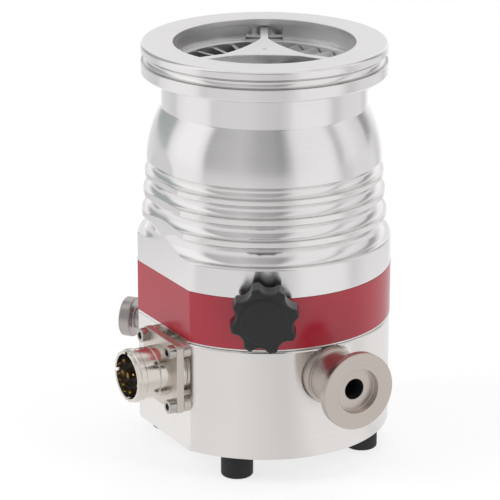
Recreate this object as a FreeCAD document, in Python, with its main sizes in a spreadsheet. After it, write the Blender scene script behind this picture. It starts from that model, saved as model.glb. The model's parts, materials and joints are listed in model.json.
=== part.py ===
import FreeCAD, Part
import math
import os

import Sketcher
from FreeCAD import Placement, Rotation, Vector

# Turbomolecular vacuum pump, in millimetres. The origin is the centre of the inlet flange's sealing
# face and +Z points out of the inlet. Heights are depths below that face. An azimuth of 0 faces -Y,
# and a positive azimuth turns from there towards +X.

os.makedirs("parts", exist_ok=True)
doc = FreeCAD.newDocument("pump")
sheet = doc.addObject("Spreadsheet::Sheet", "Sizes")
nodes = []
cells = []


class Size:
    """A value with the formula, in the sheet's aliases, that the expressions repeat."""

    def __init__(self, value, formula):
        self.value = value
        self.formula = formula

    def __add__(self, other):
        other = as_size(other)
        return Size(self.value + other.value, f"({self.formula} + {other.formula})")

    def __sub__(self, other):
        other = as_size(other)
        return Size(self.value - other.value, f"({self.formula} - {other.formula})")

    def __mul__(self, other):
        other = as_size(other)
        return Size(self.value * other.value, f"({self.formula} * {other.formula})")

    def __truediv__(self, other):
        other = as_size(other)
        return Size(self.value / other.value, f"({self.formula} / {other.formula})")

    def __neg__(self):
        return Size(-self.value, f"(0 - {self.formula})")

    def __radd__(self, other):
        return as_size(other) + self

    def __rsub__(self, other):
        return as_size(other) - self

    def __rmul__(self, other):
        return as_size(other) * self


def as_size(value):
    """Let a plain number stand in a formula."""
    return value if isinstance(value, Size) else Size(value, repr(float(value)))


def root(value):
    """The square root of a Size."""
    return Size(math.sqrt(value.value), f"sqrt({value.formula})")


def size(alias, value):
    """Write one driving dimension into the sheet and give it back as a Size."""
    cells.append(alias)
    cell = f"B{len(cells)}"
    sheet.set(f"A{len(cells)}", alias)
    sheet.set(cell, str(value))
    sheet.setAlias(cell, alias)
    return Size(value, f"Sizes.{alias}")


# Inlet flange and the outside of the housing, from the top down
body_radius = size("body_radius", 49.4)
body_edge = size("body_edge", 0.5)
flat_distance = body_radius - size("flat_cut", 4.7)
flange_radius = size("flange_radius", 47.5)
flange_thickness = size("flange_thickness", 12.0)
flange_edge = size("flange_edge", 0.8)
flange_upper_disc = size("flange_upper_disc", 3.3)
flange_groove_width = size("flange_groove_width", 3.7)
flange_groove_wall = size("flange_groove_wall", 1.0)
flange_groove_bend = size("flange_groove_bend", 1.9)
inlet_radius = size("inlet_radius", 35.0)
inlet_lip = size("inlet_lip", 2.5)
inlet_step = size("inlet_step", 1.0)
neck_radius = size("neck_radius", 39.8)
neck_depth = size("neck_depth", 24.3)
neck_fillet = size("neck_fillet", 1.2)
dome_radius = body_radius - size("dome_step", 3.75)
dome_height = size("dome_height", 20.8)
dome_bend = size("dome_bend", 46.6)
rib_radii = [body_radius - size("rib_one_step", 3.1), body_radius - size("rib_two_step", 2.5),
             body_radius - size("rib_three_step", 1.8)]
rib_widths = [size("rib_one_width", 1.9), size("rib_two_width", 2.3), size("rib_three_width", 2.2)]
cove_widths = [size("cove_one_width", 4.8), size("cove_two_width", 5.3),
               size("cove_three_width", 6.2), size("cove_four_width", 7.6)]
cove_wall = size("cove_wall", 0.8)
cove_rise = size("cove_rise", 2.1)

# Stack of rings inside the housing, each resting on the next. It sets the height of the joint.
bore_radius = neck_radius - size("neck_wall", 3.3)
stack_gap = size("stack_gap", 0.1)
stack_top = size("stack_top", 8.5)
ring_inner_radius = bore_radius - size("ring_wall", 3.5)
spacer_heights = [size("spacer_one_height", 9.1), size("spacer_two_height", 6.5),
                  size("spacer_three_height", 6.0), size("spacer_four_height", 5.0),
                  size("spacer_five_height", 4.9)]
stator_heights = [size("stator_one_height", 4.5), size("stator_two_height", 4.0),
                  size("stator_three_height", 3.0), size("stator_four_height", 2.5)]
stator_blades = [20, 18, 18, 16]
stator_angles = [38, 34, 28, 24]
stator_inner_ring = size("stator_inner_ring", 1.2)
holweck_stator_height = size("holweck_stator_height", 50.0)
holweck_inner_radius = ring_inner_radius - size("holweck_step", 4.0)
stack_levels = [stack_top]
for spacer_height, stator_height in zip(spacer_heights, stator_heights):
    stack_levels.append(stack_levels[-1] + spacer_height)
    stack_levels.append(stack_levels[-1] + stator_height)
holweck_top = stack_levels[-1] + spacer_heights[-1]
base_top = holweck_top + holweck_stator_height
spigot_height = size("spigot_height", 4.4)
housing_height = base_top + spigot_height
pump_height = housing_height + size("base_height", 44.1)

# Colour band, which lies in a shallow recess and stands a hair proud of it
band_height = size("band_height", 20.3)
band_top = housing_height - size("band_foot", 1.0) - band_height
band_thickness = size("band_thickness", 0.6)
band_proud = size("band_proud", 0.12)
band_gap = size("band_gap", 0.05)

# Rotor
rotor_top = size("rotor_top", 9.2)
hub_radius = size("hub_radius", 15.0)
hub_gap = size("hub_gap", 0.8)
tip_gap = size("tip_gap", 0.6)
stage_gap = size("stage_gap", 1.0)
blade_thickness = size("blade_thickness", 1.1)
blade_root = size("blade_root", 1.0)
rotor_blades = [24, 20, 18, 18, 16]
rotor_angles = [42, 36, 32, 26, 22]
sleeve_wall = size("sleeve_wall", 1.2)
sleeve_gap = size("sleeve_gap", 0.8)
sleeve_disc = size("sleeve_disc", 2.5)
sleeve_height = size("sleeve_height", 41.0)
shaft_radius = size("shaft_radius", 5.0)
shaft_grip = size("shaft_grip", 22.0)
press_gap = size("press_gap", 0.03)

# Bearing star and the magnetic bearing under it
star_depth = size("star_depth", 3.4)
star_thickness = size("star_thickness", 5.0)
star_reach = bore_radius + size("star_hold", 1.2)
star_arm_width = size("star_arm_width", 3.3)
star_root = size("star_root", 17.0)
star_waist = size("star_waist", 8.6)
star_first_azimuth = size("star_first_azimuth", 30.0)
star_pocket_width = size("star_pocket_width", 12.0)
star_pocket_play = size("star_pocket_play", 0.2)
star_pin_radius = size("star_pin_radius", 3.5)
star_pin_length = size("star_pin_length", 16.4)
magnet_ring_count = 4
magnet_stack_top = size("magnet_stack_top", 11.5)
magnet_ring_height = size("magnet_ring_height", 1.9)
magnet_ring_pitch = size("magnet_ring_pitch", 2.0)
star_magnet_wall = size("star_magnet_wall", 1.9)
magnet_air_gap = size("magnet_air_gap", 0.6)
rotor_magnet_wall = size("rotor_magnet_wall", 2.3)
safety_bearing_height = size("safety_bearing_height", 3.4)
safety_bearing_wall = size("safety_bearing_wall", 2.9)
safety_gap = size("safety_gap", 0.3)

# Base with the motor and the lower bearing
spigot_gap = size("spigot_gap", 0.2)
ring_cord = size("ring_cord", 1.0)
groove_play = size("groove_play", 0.1)
hole_end = size("hole_end", 0.5)
motor_bore_radius = size("motor_bore_radius", 19.0)
motor_bore_depth = base_top + size("motor_room", 31.0)
motor_stator_height = size("motor_stator_height", 22.0)
motor_magnet_radius = size("motor_magnet_radius", 8.8)
motor_magnet_height = size("motor_magnet_height", 20.0)
motor_air_gap = size("motor_air_gap", 0.7)
bearing_lip_radius = size("bearing_lip_radius", 9.0)
bearing_lip = size("bearing_lip", 1.0)
journal_radius = size("journal_radius", 4.0)
ball_circle = size("ball_circle", 6.4)
ball_radius = size("ball_radius", 1.3)
ball_count = 8
race_play = size("race_play", 0.05)
bearing_width = size("bearing_width", 5.0)
bearing_outer_radius = size("bearing_outer_radius", 9.5)
race_shoulder = size("race_shoulder", 0.8)
cage_half = size("cage_half", 0.6)
cage_width = size("cage_width", 3.6)
damper_wall = size("damper_wall", 1.9)
nut_gap = size("nut_gap", 0.5)
nut_radius = size("nut_radius", 6.5)
nut_height = size("nut_height", 5.4)
nut_tip_wall = size("nut_tip_wall", 1.0)
wick_inner_radius = size("wick_inner_radius", 7.5)
wick_outer_radius = size("wick_outer_radius", 13.9)
wick_height = size("wick_height", 7.4)
cover_thickness = size("cover_thickness", 3.0)
cover_radius = size("cover_radius", 19.9)
cover_gap = size("cover_gap", 0.1)
cover_seal_cord = size("cover_seal_cord", 0.7)
spanner_hole_radius = size("spanner_hole_radius", 1.5)
spanner_hole_circle = size("spanner_hole_circle", 13.0)
duct_radius = size("duct_radius", 3.5)
duct_circle = motor_bore_radius + size("duct_wall", 2.0) + duct_radius

# Screws that hold the housing on the base, heads sunk from below
housing_screw_circle = bore_radius + size("housing_screw_wall", 3.5)
housing_screw_azimuth = size("housing_screw_azimuth", 73.0)
housing_screw_radius = size("housing_screw_radius", 2.0)
housing_screw_head_radius = size("housing_screw_head_radius", 3.5)
housing_screw_head = size("housing_screw_head", 4.0)
housing_screw_seat = housing_height + size("housing_screw_bridge", 12.6)
housing_screw_grip = size("housing_screw_grip", 8.4)
screw_play = size("screw_play", 0.1)

# Feet
foot_radius = size("foot_radius", 6.25)
foot_height = size("foot_height", 10.0)
foot_circle = body_radius - size("foot_margin", 9.4)
foot_edge = size("foot_edge", 0.9)
foot_stem_radius = size("foot_stem_radius", 2.5)
foot_stem_length = size("foot_stem_length", 5.0)
foot_first_azimuth = size("foot_first_azimuth", 45.0)

# Foreline port, its collar just below the joint
port_collar_radius = size("port_collar_radius", 11.0)
port_collar = size("port_collar", 3.0)
port_depth = housing_height + size("port_joint_gap", 0.1) + port_collar_radius
port_seat = body_radius - size("port_seat_cut", 1.4)
port_washer = size("port_washer", 1.0)
port_washer_inset = size("port_washer_inset", 0.6)
port_length = size("port_length", 21.5)
port_reach = port_seat + port_washer + port_length
port_flange_radius = size("port_flange_radius", 15.0)
port_rim = size("port_rim", 3.0)
port_taper = size("port_taper", 1.34)
port_tube_radius = size("port_tube_radius", 10.0)
port_spigot_radius = size("port_spigot_radius", 6.5)
port_spigot_length = size("port_spigot_length", 14.0)
port_bore_radius = size("port_bore_radius", 4.0)
port_recess_radius = size("port_recess_radius", 8.6)
port_recess = size("port_recess", 3.0)
spotface_play = size("spotface_play", 0.4)

# Vent valve
vent_azimuth = size("vent_azimuth", -30.0)
vent_depth = band_top + size("vent_drop", 4.5)
vent_spindle_radius = size("vent_spindle_radius", 4.8)
vent_spindle_play = size("vent_spindle_play", 0.06)
vent_seat = body_radius - size("vent_seat_cut", 2.2)
vent_spindle_tip = bore_radius + size("vent_spindle_wall", 4.0)
vent_ring_cord = size("vent_ring_cord", 1.0)
vent_ring_play = size("vent_ring_play", 0.2)
vent_hole_radius = size("vent_hole_radius", 1.5)
vent_collar_radius = size("vent_collar_radius", 6.8)
vent_pocket_play = size("vent_pocket_play", 0.5)
knob_radius = size("knob_radius", 13.0)
knob_back = body_radius + band_proud + size("knob_gap", 2.98)
knob_thickness = size("knob_thickness", 10.0)
knob_edge = size("knob_edge", 1.0)
knob_lobes = 8
knob_first_valley = size("knob_first_valley", 82.5)
knob_valley_radius = size("knob_valley_radius", 10.8)
knob_scallop_radius = size("knob_scallop_radius", 4.4)
knob_cap_radius = size("knob_cap_radius", 9.3)
knob_cap_sunk = size("knob_cap_sunk", 1.4)
knob_cap_proud = size("knob_cap_proud", 0.5)

# Connector on the flat
connector_side = size("connector_side", 8.0)
plate_width = size("plate_width", 27.6)
plate_thickness = size("plate_thickness", 3.0)
plate_corner = size("plate_corner", 1.5)
spacer_length = size("spacer_length", 3.0)
spacer_radius = size("spacer_radius", 3.0)
plate_screw_offset = size("plate_screw_offset", 11.0)
connector_depth = housing_height + size("plate_screw_joint_gap", 2.6) + plate_screw_offset
plate_screw_radius = size("plate_screw_radius", 1.5)
plate_screw_head_radius = size("plate_screw_head_radius", 2.75)
plate_screw_head = size("plate_screw_head", 3.0)
plate_screw_grip = size("plate_screw_grip", 6.0)
shell_radius = size("shell_radius", 10.0)
shell_wall = size("shell_wall", 1.2)
shell_length = size("shell_length", 14.5)
shell_shoulder = size("shell_shoulder", 1.0)
shell_ring_width = size("shell_ring_width", 2.4)
shell_ring_height = size("shell_ring_height", 0.5)
shell_ring_setback = size("shell_ring_setback", 1.44)
keyway_width = size("keyway_width", 1.8)
insert_play = size("insert_play", 0.1)
insert_depth = size("insert_depth", 9.5)
pin_radius = size("pin_radius", 0.6)
pin_proud = size("pin_proud", 4.0)
pin_rings = [(8, size("pin_circle_outer", 6.3)), (4, size("pin_circle_inner", 2.7))]
pin_tail = size("pin_tail", 1.0)
wire_hole_radius = size("wire_hole_radius", 3.0)

# Purge plug
plug_azimuth = size("plug_azimuth", -141.0)
plug_radius = size("plug_radius", 8.0)
plug_thickness = size("plug_thickness", 4.5)
plug_edge = size("plug_edge", 0.6)
plug_neck_radius = size("plug_neck_radius", 4.3)
plug_seat = body_radius - size("plug_seat_cut", 0.6)
plug_tip = plug_seat - size("plug_grip", 7.8)
plug_washer = size("plug_washer", 1.0)
plug_neck = size("plug_neck", 5.2)
plug_reach = plug_seat + plug_washer + plug_neck + plug_thickness
plug_washer_radius = size("plug_washer_radius", 6.4)

doc.recompute()

# How far a cutting tool runs past what it cuts
overshoot = Size(10.0, "10")

# Steps of an outline that are arcs: the path bends to its right or to its left on the way there
RIGHT = "right"
LEFT = "left"


def bind(thing, name, value):
    """Tie one property of an object to a formula."""
    thing.setExpression(name, as_size(value).formula)


def node(thing, name):
    """Give a finished sub-part its name and keep it for the end."""
    thing.Label = name
    nodes.append(thing)
    return thing


def bent_edge(start, finish, radius, bend):
    """An arc of less than half a circle from start to finish."""
    chord = finish - start
    half = chord.Length / 2
    offset = math.sqrt(radius * radius - half * half)
    side = Vector(-chord.y, chord.x, 0).normalize()
    centre = (start + finish) / 2 + side * (offset if bend == LEFT else -offset)
    begin, end = (start, finish) if bend == LEFT else (finish, start)
    from_angle = math.atan2(begin.y - centre.y, begin.x - centre.x)
    to_angle = math.atan2(end.y - centre.y, end.x - centre.x)
    if to_angle < from_angle:
        to_angle += 2 * math.pi
    return Part.ArcOfCircle(Part.Circle(centre, Vector(0, 0, 1), radius), from_angle, to_angle)


def draw(sketch, outline):
    """Draw one closed outline and bind each corner's two distances, and each arc's radius."""
    origin = (-1, 1)
    along_x, along_y = -1, -2
    first_end, last_end = 1, 2
    corners = []
    for step in outline:
        bend, radius = (step[2], step[3]) if len(step) == 4 else (None, None)
        corners.append((as_size(step[0]), as_size(step[1]), bend, radius))
    edges = []
    for index, (x, y, bend, radius) in enumerate(corners):
        start = Vector(corners[index - 1][0].value, corners[index - 1][1].value, 0)
        finish = Vector(x.value, y.value, 0)
        if bend is None:
            edge = Part.LineSegment(start, finish)
        else:
            edge = bent_edge(start, finish, as_size(radius).value, bend)
        begin, end = (last_end, first_end) if bend == RIGHT else (first_end, last_end)
        edges.append((sketch.addGeometry(edge, False), begin, end))
    rules = []
    formulas = []
    for index, (x, y, bend, radius) in enumerate(corners):
        edge, begin, end = edges[index]
        rules.append(Sketcher.Constraint("Coincident", edges[index - 1][0], edges[index - 1][2], edge, begin))
        for kind, axis, value in (("DistanceX", along_y, x), ("DistanceY", along_x, y)):
            if value.value == 0:
                rules.append(Sketcher.Constraint("PointOnObject", edge, end, axis))
            else:
                formulas.append((len(rules), value.formula))
                rules.append(Sketcher.Constraint(kind, *origin, edge, end, value.value))
        if bend is not None:
            formulas.append((len(rules), as_size(radius).formula))
            rules.append(Sketcher.Constraint("Radius", edge, as_size(radius).value))
    first = sketch.addConstraint(rules)[0]
    for number, formula in formulas:
        sketch.setExpression(f"Constraints[{first + number}]", formula)


def sketch_on(body, role, outlines, offset=0):
    """A sketch of closed outlines on one of the body's own planes, moved along its normal."""
    sketch = body.newObject("Sketcher::SketchObject", body.Name + "_sketch")
    plane = next(feature for feature in body.Origin.OriginFeatures if feature.Role == role)
    sketch.AttachmentSupport = [(plane, "")]
    sketch.MapMode = "FlatFace"
    bind(sketch, "AttachmentOffset.Base.z", offset)
    for outline in outlines:
        draw(sketch, outline)
    return sketch


def new_body(name):
    """An empty body for one sub-part."""
    return doc.addObject("PartDesign::Body", name)


def turn(body, outline, kind="PartDesign::Revolution"):
    """Turn an outline of radii and heights once round the body's Z axis."""
    sketch = sketch_on(body, "XZ_Plane", [outline])
    feature = body.newObject(kind, body.Name + "_turned")
    feature.Profile = sketch
    feature.ReferenceAxis = (sketch, ["V_Axis"])
    feature.Angle = 360
    return feature


def ring_outline(inner, outer, bottom, top):
    """A rectangle of radii and heights, clockwise from its top inner corner."""
    return [(inner, top), (outer, top), (outer, bottom), (inner, bottom)]


def turned(name, outline):
    """A body made of one turned outline."""
    body = new_body(name)
    turn(body, outline)
    return body


def pad(body, outlines, bottom, height):
    """Raise outlines drawn on the body's XY plane from one height by another."""
    sketch = sketch_on(body, "XY_Plane", outlines, bottom)
    feature = body.newObject("PartDesign::Pad", body.Name + "_pad")
    feature.Profile = sketch
    bind(feature, "Length", height)
    return feature


def patterned(body, feature, count):
    """Repeat a feature evenly round the body's Z axis."""
    pattern = body.newObject("PartDesign::PolarPattern", feature.Name + "_pattern")
    pattern.Originals = [feature]
    axis = next(item for item in body.Origin.OriginFeatures if item.Role == "Z_Axis")
    pattern.Axis = (axis, [""])
    pattern.Angle = 360
    pattern.Occurrences = round(count)
    body.Tip = pattern
    return pattern


def cylinder(name, radius, bottom, top, x=0, y=0):
    """An upright cylinder between two heights."""
    thing = doc.addObject("Part::Cylinder", name)
    bind(thing, "Radius", radius)
    bind(thing, "Height", as_size(top) - bottom)
    bind(thing, "Placement.Base.x", x)
    bind(thing, "Placement.Base.y", y)
    bind(thing, "Placement.Base.z", bottom)
    return thing


def block(name, low, high):
    """A box between two opposite corners."""
    thing = doc.addObject("Part::Box", name)
    for letter, side, from_value, to_value in zip("xyz", ("Length", "Width", "Height"), low, high):
        bind(thing, side, as_size(to_value) - from_value)
        bind(thing, f"Placement.Base.{letter}", from_value)
    return thing


def around(azimuth, out, side=0):
    """The two plan coordinates of a point at an azimuth, so far out and so far to the side."""
    angle = math.radians(as_size(azimuth).value)
    out = as_size(out)
    side = as_size(side)
    return (out * math.sin(angle) + side * math.cos(angle), side * math.sin(angle) - out * math.cos(angle))


def face_outward(thing, azimuth, height, side=0, out=0):
    """Point an object's own Z straight out at an azimuth, with its own Y up."""
    spin = Rotation(Vector(0, 0, 1), as_size(azimuth).value)
    thing.Placement = Placement(Vector(), spin * Rotation(Vector(1, 0, 0), 90))
    x, y = around(azimuth, out, side)
    bind(thing, "Placement.Base.x", x)
    bind(thing, "Placement.Base.y", y)
    bind(thing, "Placement.Base.z", height)
    return thing


def drill(name, radius, azimuth, height, inner, outer, side=0):
    """A cylinder that lies along a radius, from one distance from the axis to another."""
    thing = doc.addObject("Part::Cylinder", name)
    bind(thing, "Radius", radius)
    bind(thing, "Height", as_size(outer) - inner)
    return face_outward(thing, azimuth, height, side, inner)


def cut(name, base, tools):
    """Take all the tools away from the base."""
    joined = tools[0]
    if len(tools) > 1:
        joined = doc.addObject("Part::MultiFuse", name + "_tools")
        joined.Shapes = tools
    thing = doc.addObject("Part::Cut", name)
    thing.Base = base
    thing.Tool = joined
    return thing


def group(name, things):
    """Several separate solids that share one node."""
    thing = doc.addObject("Part::Compound", name)
    thing.Links = things
    return thing


def flatted_bar(name, radius, flat, bottom, top):
    """A round bar with one flat side towards -X."""
    bar = cylinder(name + "_bar", radius, bottom, top)
    kept = block(name + "_kept", (-flat, -radius, bottom), (radius, radius, top))
    thing = doc.addObject("Part::Common", name)
    thing.Base = bar
    thing.Tool = kept
    return thing


# Shares of a socket screw's head: the rounding of its edge, and the width and depth of its socket
HEAD_EDGE_SHARE = 0.125
SOCKET_SHARE = 0.55


def socket_screw(name, shank_radius, head_radius, head_height, shank_length):
    """A socket-head screw along its own Z, with the seat under the head at zero."""
    body = new_body(name)
    edge = head_radius * HEAD_EDGE_SHARE
    turn(body, [(0, head_height), (head_radius - edge, head_height), (head_radius, head_height - edge),
                (head_radius, 0), (shank_radius, 0), (shank_radius, -shank_length), (0, -shank_length)])
    across = head_radius * SOCKET_SHARE
    corners = [(across * math.cos(math.radians(60 * k)), across * math.sin(math.radians(60 * k)))
               for k in range(6, 0, -1)]
    sketch = sketch_on(body, "XY_Plane", [corners], head_height)
    socket = body.newObject("PartDesign::Pocket", name + "_socket")
    socket.Profile = sketch
    bind(socket, "Length", head_height * SOCKET_SHARE)
    return body


def four_corners(first):
    """The four azimuths a quarter turn apart."""
    return [first + 90 * k for k in range(4)]


# Heights of the ribs and coves, each from the one above it
dome_bottom = neck_depth + dome_height
cove_tops = [dome_bottom]
cove_bottoms = [dome_bottom + cove_widths[0]]
for rib_width, cove_width in zip(rib_widths, cove_widths[1:]):
    cove_tops.append(cove_bottoms[-1] + rib_width)
    cove_bottoms.append(cove_tops[-1] + cove_width)

# Radii and azimuths that several pieces share
spigot_radius = bore_radius - spigot_gap
ring_outer_radius = bore_radius - stack_gap
star_azimuths = [star_first_azimuth.value + 120 * k for k in range(3)]
connector_azimuth = -90
screw_azimuths = four_corners(housing_screw_azimuth.value)
foot_azimuths = four_corners(foot_first_azimuth.value)


def cove_bend(width):
    """The radius of an arc that spans a cove's width and sinks by cove_rise, less than half round."""
    half = width / 2
    return (half * half + cove_rise * cove_rise) / (2 * cove_rise)


def pump_housing():
    """Flange, neck, dome, ribs and cylinder in one turned piece, with a flat, pockets and ports."""
    outline = [(inlet_radius, 0), (flange_radius - flange_edge, 0), (flange_radius, -flange_edge),
               (flange_radius, -flange_upper_disc), (flange_radius - flange_groove_wall, -flange_upper_disc),
               (flange_radius - flange_groove_wall, -flange_upper_disc - flange_groove_width, LEFT,
                flange_groove_bend),
               (flange_radius, -flange_upper_disc - flange_groove_width),
               (flange_radius, flange_edge - flange_thickness),
               (flange_radius - flange_edge, -flange_thickness),
               (neck_radius + neck_fillet, -flange_thickness),
               (neck_radius, -flange_thickness - neck_fillet, LEFT, neck_fillet),
               (neck_radius, -neck_depth), (dome_radius, -dome_bottom, RIGHT, dome_bend)]
    lower_radii = rib_radii + [body_radius]
    upper_radii = [dome_radius] + rib_radii
    for k in range(4):
        floor_edge = upper_radii[k] - cove_wall
        outline.append((floor_edge, -cove_tops[k]))
        outline.append((floor_edge, -cove_bottoms[k], LEFT, cove_bend(cove_widths[k])))
        if k < 3:
            outline.append((lower_radii[k], -cove_bottoms[k]))
            outline.append((lower_radii[k], -cove_tops[k + 1]))
    outline += [(body_radius - body_edge, -cove_bottoms[3]), (body_radius, -cove_bottoms[3] - body_edge),
                (body_radius, body_edge - housing_height), (body_radius - body_edge, -housing_height),
                (bore_radius, -housing_height), (bore_radius, -stack_top),
                (inlet_radius + inlet_step, -stack_top), (inlet_radius + inlet_step, -inlet_lip),
                (inlet_radius, -inlet_lip)]
    body = turned("housing_turned", outline)
    beyond = body_radius + overshoot
    flat = block("housing_flat", (-beyond, -beyond, -housing_height - overshoot),
                 (-flat_distance, beyond, -neck_depth))
    band_room = cylinder("housing_band_room", beyond, -band_top - band_height, -band_top)
    band_floor = flatted_bar("housing_band_floor", body_radius - band_thickness,
                             flat_distance - band_thickness, -band_top - band_height, -band_top)
    tools = [flat, cut("housing_band_recess", band_room, [band_floor])]
    pocket_reach = star_reach + star_pocket_play
    for k, azimuth in enumerate(star_azimuths):
        pocket = block(f"housing_star_pocket_{k}", (0, 0, 0), (1, 1, 1))
        pocket.Placement = Placement(Vector(), Rotation(Vector(0, 0, 1), azimuth - 90))
        bind(pocket, "Length", pocket_reach - hub_radius)
        bind(pocket, "Width", star_pocket_width)
        bind(pocket, "Height", stack_top - star_depth + star_pocket_play)
        x, y = around(azimuth, hub_radius, -star_pocket_width / 2)
        bind(pocket, "Placement.Base.x", x)
        bind(pocket, "Placement.Base.y", y)
        bind(pocket, "Placement.Base.z", -stack_top)
        tools.append(pocket)
    for k, azimuth in enumerate(screw_azimuths):
        x, y = around(azimuth, housing_screw_circle)
        tools.append(cylinder(f"housing_thread_{k}", housing_screw_radius + screw_play, -housing_height,
                              housing_screw_grip + hole_end - housing_height, x, y))
    tools.append(drill("housing_vent_seat", vent_ring_outer() + vent_pocket_play, vent_azimuth, -vent_depth,
                       vent_seat, beyond))
    tools.append(drill("housing_vent_thread", vent_spindle_radius + vent_spindle_play, vent_azimuth,
                       -vent_depth, vent_spindle_tip - hole_end, beyond))
    tools.append(drill("housing_vent_hole", vent_hole_radius, vent_azimuth, -vent_depth, hub_radius, beyond))
    node(cut("housing_cut", body, tools), "pump_housing")


def vent_ring_outer():
    """The vent O-ring's outer radius: it lies loosely round the spindle."""
    return vent_spindle_radius + vent_ring_play + 2 * vent_ring_cord


def colour_band():
    """A thin red sleeve that follows the cylinder and its flat, with a hole for the vent valve."""
    bottom = band_gap - band_top - band_height
    top = -band_top - band_gap
    outside = flatted_bar("band_outside", body_radius + band_proud, flat_distance + band_proud, bottom, top)
    sunk = band_thickness - band_gap
    inside = flatted_bar("band_inside", body_radius - sunk, flat_distance - sunk, bottom, top)
    hole = drill("band_hole", vent_ring_outer() + vent_pocket_play, vent_azimuth, -vent_depth, hub_radius,
                 body_radius + overshoot)
    node(cut("band_cut", outside, [inside, hole]), "colour_band")


def base_body():
    """The lower cylinder with its flat, spigot, motor bore, bearing seat and all its holes."""
    groove_floor = spigot_radius - 2 * ring_cord + groove_play
    groove_top = base_top + spigot_height / 4
    groove_bottom = groove_top + 2 * ring_cord + 3 * groove_play
    bearing_bore = bearing_outer_radius + damper_wall + cover_gap
    bearing_top = motor_bore_depth + bearing_lip
    wick_bore = wick_outer_radius + cover_gap
    wick_top = bearing_top + bearing_width + nut_gap
    cover_top = pump_height - cover_thickness
    outline = [(motor_bore_radius, -base_top), (spigot_radius, -base_top), (spigot_radius, -groove_top),
               (groove_floor, -groove_top), (groove_floor, -groove_bottom), (spigot_radius, -groove_bottom),
               (spigot_radius, -housing_height), (body_radius - body_edge, -housing_height),
               (body_radius, -housing_height - body_edge), (body_radius, body_edge - pump_height),
               (body_radius - body_edge, -pump_height), (cover_radius + cover_gap, -pump_height),
               (cover_radius + cover_gap, -cover_top), (wick_bore, -cover_top), (wick_bore, -wick_top),
               (bearing_bore, -wick_top), (bearing_bore, -bearing_top), (bearing_lip_radius, -bearing_top),
               (bearing_lip_radius, -motor_bore_depth), (motor_bore_radius, -motor_bore_depth)]
    body = turned("base_turned", outline)
    beyond = body_radius + overshoot
    tools = [block("base_flat", (-beyond, -beyond, -pump_height - overshoot),
                   (-flat_distance, beyond, -base_top))]
    for k, azimuth in enumerate(screw_azimuths):
        x, y = around(azimuth, housing_screw_circle)
        tools.append(cylinder(f"base_screw_hole_{k}", housing_screw_radius + screw_play,
                              -pump_height, -housing_height, x, y))
        tools.append(cylinder(f"base_screw_seat_{k}", housing_screw_head_radius + screw_play,
                              -pump_height, -housing_screw_seat, x, y))
    for k, azimuth in enumerate(foot_azimuths):
        x, y = around(azimuth, foot_circle)
        tools.append(cylinder(f"base_foot_hole_{k}", foot_stem_radius + press_gap, -pump_height,
                              foot_stem_length + hole_end - pump_height, x, y))
    x, y = around(0, duct_circle)
    tools.append(cylinder("base_duct", duct_radius, -port_depth, -base_top, x, y))
    tools.append(drill("base_port_hole", port_spigot_radius + press_gap, 0, -port_depth,
                       port_seat + port_washer - port_spigot_length - hole_end, beyond))
    tools.append(drill("base_port_duct", port_bore_radius, 0, -port_depth, duct_circle, beyond))
    tools.append(drill("base_port_spotface", port_collar_radius + spotface_play, 0, -port_depth,
                       port_seat, beyond))
    tools.append(drill("base_plug_hole", plug_neck_radius + press_gap, plug_azimuth, -port_depth,
                       plug_tip - hole_end, beyond))
    tools.append(drill("base_plug_spotface", plug_washer_radius + spotface_play, plug_azimuth, -port_depth,
                       plug_seat, beyond))
    tools.append(drill("base_wire_hole", wire_hole_radius, connector_azimuth, -connector_depth,
                       motor_bore_radius - overshoot, beyond, connector_side))
    for k, (right, up) in enumerate(plate_corners()):
        tools.append(drill(f"base_plate_thread_{k}", plate_screw_radius + press_gap, connector_azimuth,
                           up - connector_depth, flat_distance - plate_screw_grip - hole_end, beyond,
                           connector_side + right))
    node(cut("base_cut", body, tools), "base_body")

    seal_radius = groove_floor + ring_cord + press_gap
    seal = doc.addObject("Part::Torus", "housing_seal")
    bind(seal, "Radius1", seal_radius)
    bind(seal, "Radius2", ring_cord - press_gap)
    bind(seal, "Placement.Base.z", -(groove_top + groove_bottom) / 2)
    node(seal, "housing_o_ring")


def plate_corners():
    """The connector's four screw places, seen from outside: to the right, and up."""
    return [(plate_screw_offset * right, plate_screw_offset * up) for right in (-1, 1) for up in (-1, 1)]


def housing_screws():
    """Four long screws that come up from below, through the base, into the housing."""
    length = housing_screw_seat - housing_height + housing_screw_grip
    screws = []
    for k, azimuth in enumerate(screw_azimuths):
        screw = socket_screw(f"housing_screw_{k}", housing_screw_radius, housing_screw_head_radius,
                             housing_screw_head, length)
        screw.Placement = Placement(Vector(), Rotation(Vector(1, 0, 0), 180))
        x, y = around(azimuth, housing_screw_circle)
        bind(screw, "Placement.Base.x", x)
        bind(screw, "Placement.Base.y", y)
        bind(screw, "Placement.Base.z", -housing_screw_seat)
        screws.append(screw)
    node(group("housing_screw_group", screws), "housing_screws")


def bearing_star():
    """A hub with hollow sides on three thin arms, with the pin that carries the upper bearing."""
    body = new_body("star_body")
    half = star_arm_width / 2
    root_out = star_root * 0.5 + half * math.sin(math.radians(60))
    rise = root_out - star_waist
    reach = star_root * math.sin(math.radians(60)) - half * 0.5
    bend = (reach * reach + rise * rise) / (2 * rise)
    outline = []
    for azimuth in reversed(star_azimuths):
        first_root = around(azimuth, star_root, half)
        outline.append(first_root + (LEFT, bend))
        outline.append(around(azimuth, star_reach, half))
        outline.append(around(azimuth, star_reach, -half))
        outline.append(around(azimuth, star_root, -half))
    bottom = star_depth + star_thickness
    pad(body, [outline], -bottom, star_thickness)
    turn(body, ring_pin(star_pin_radius, -bottom - star_pin_length, -bottom + star_thickness / 2))
    node(body, "bearing_star")


def ring_pin(radius, bottom, top):
    """The outline of a solid pin."""
    return [(0, top), (radius, top), (radius, bottom), (0, bottom)]


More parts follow.
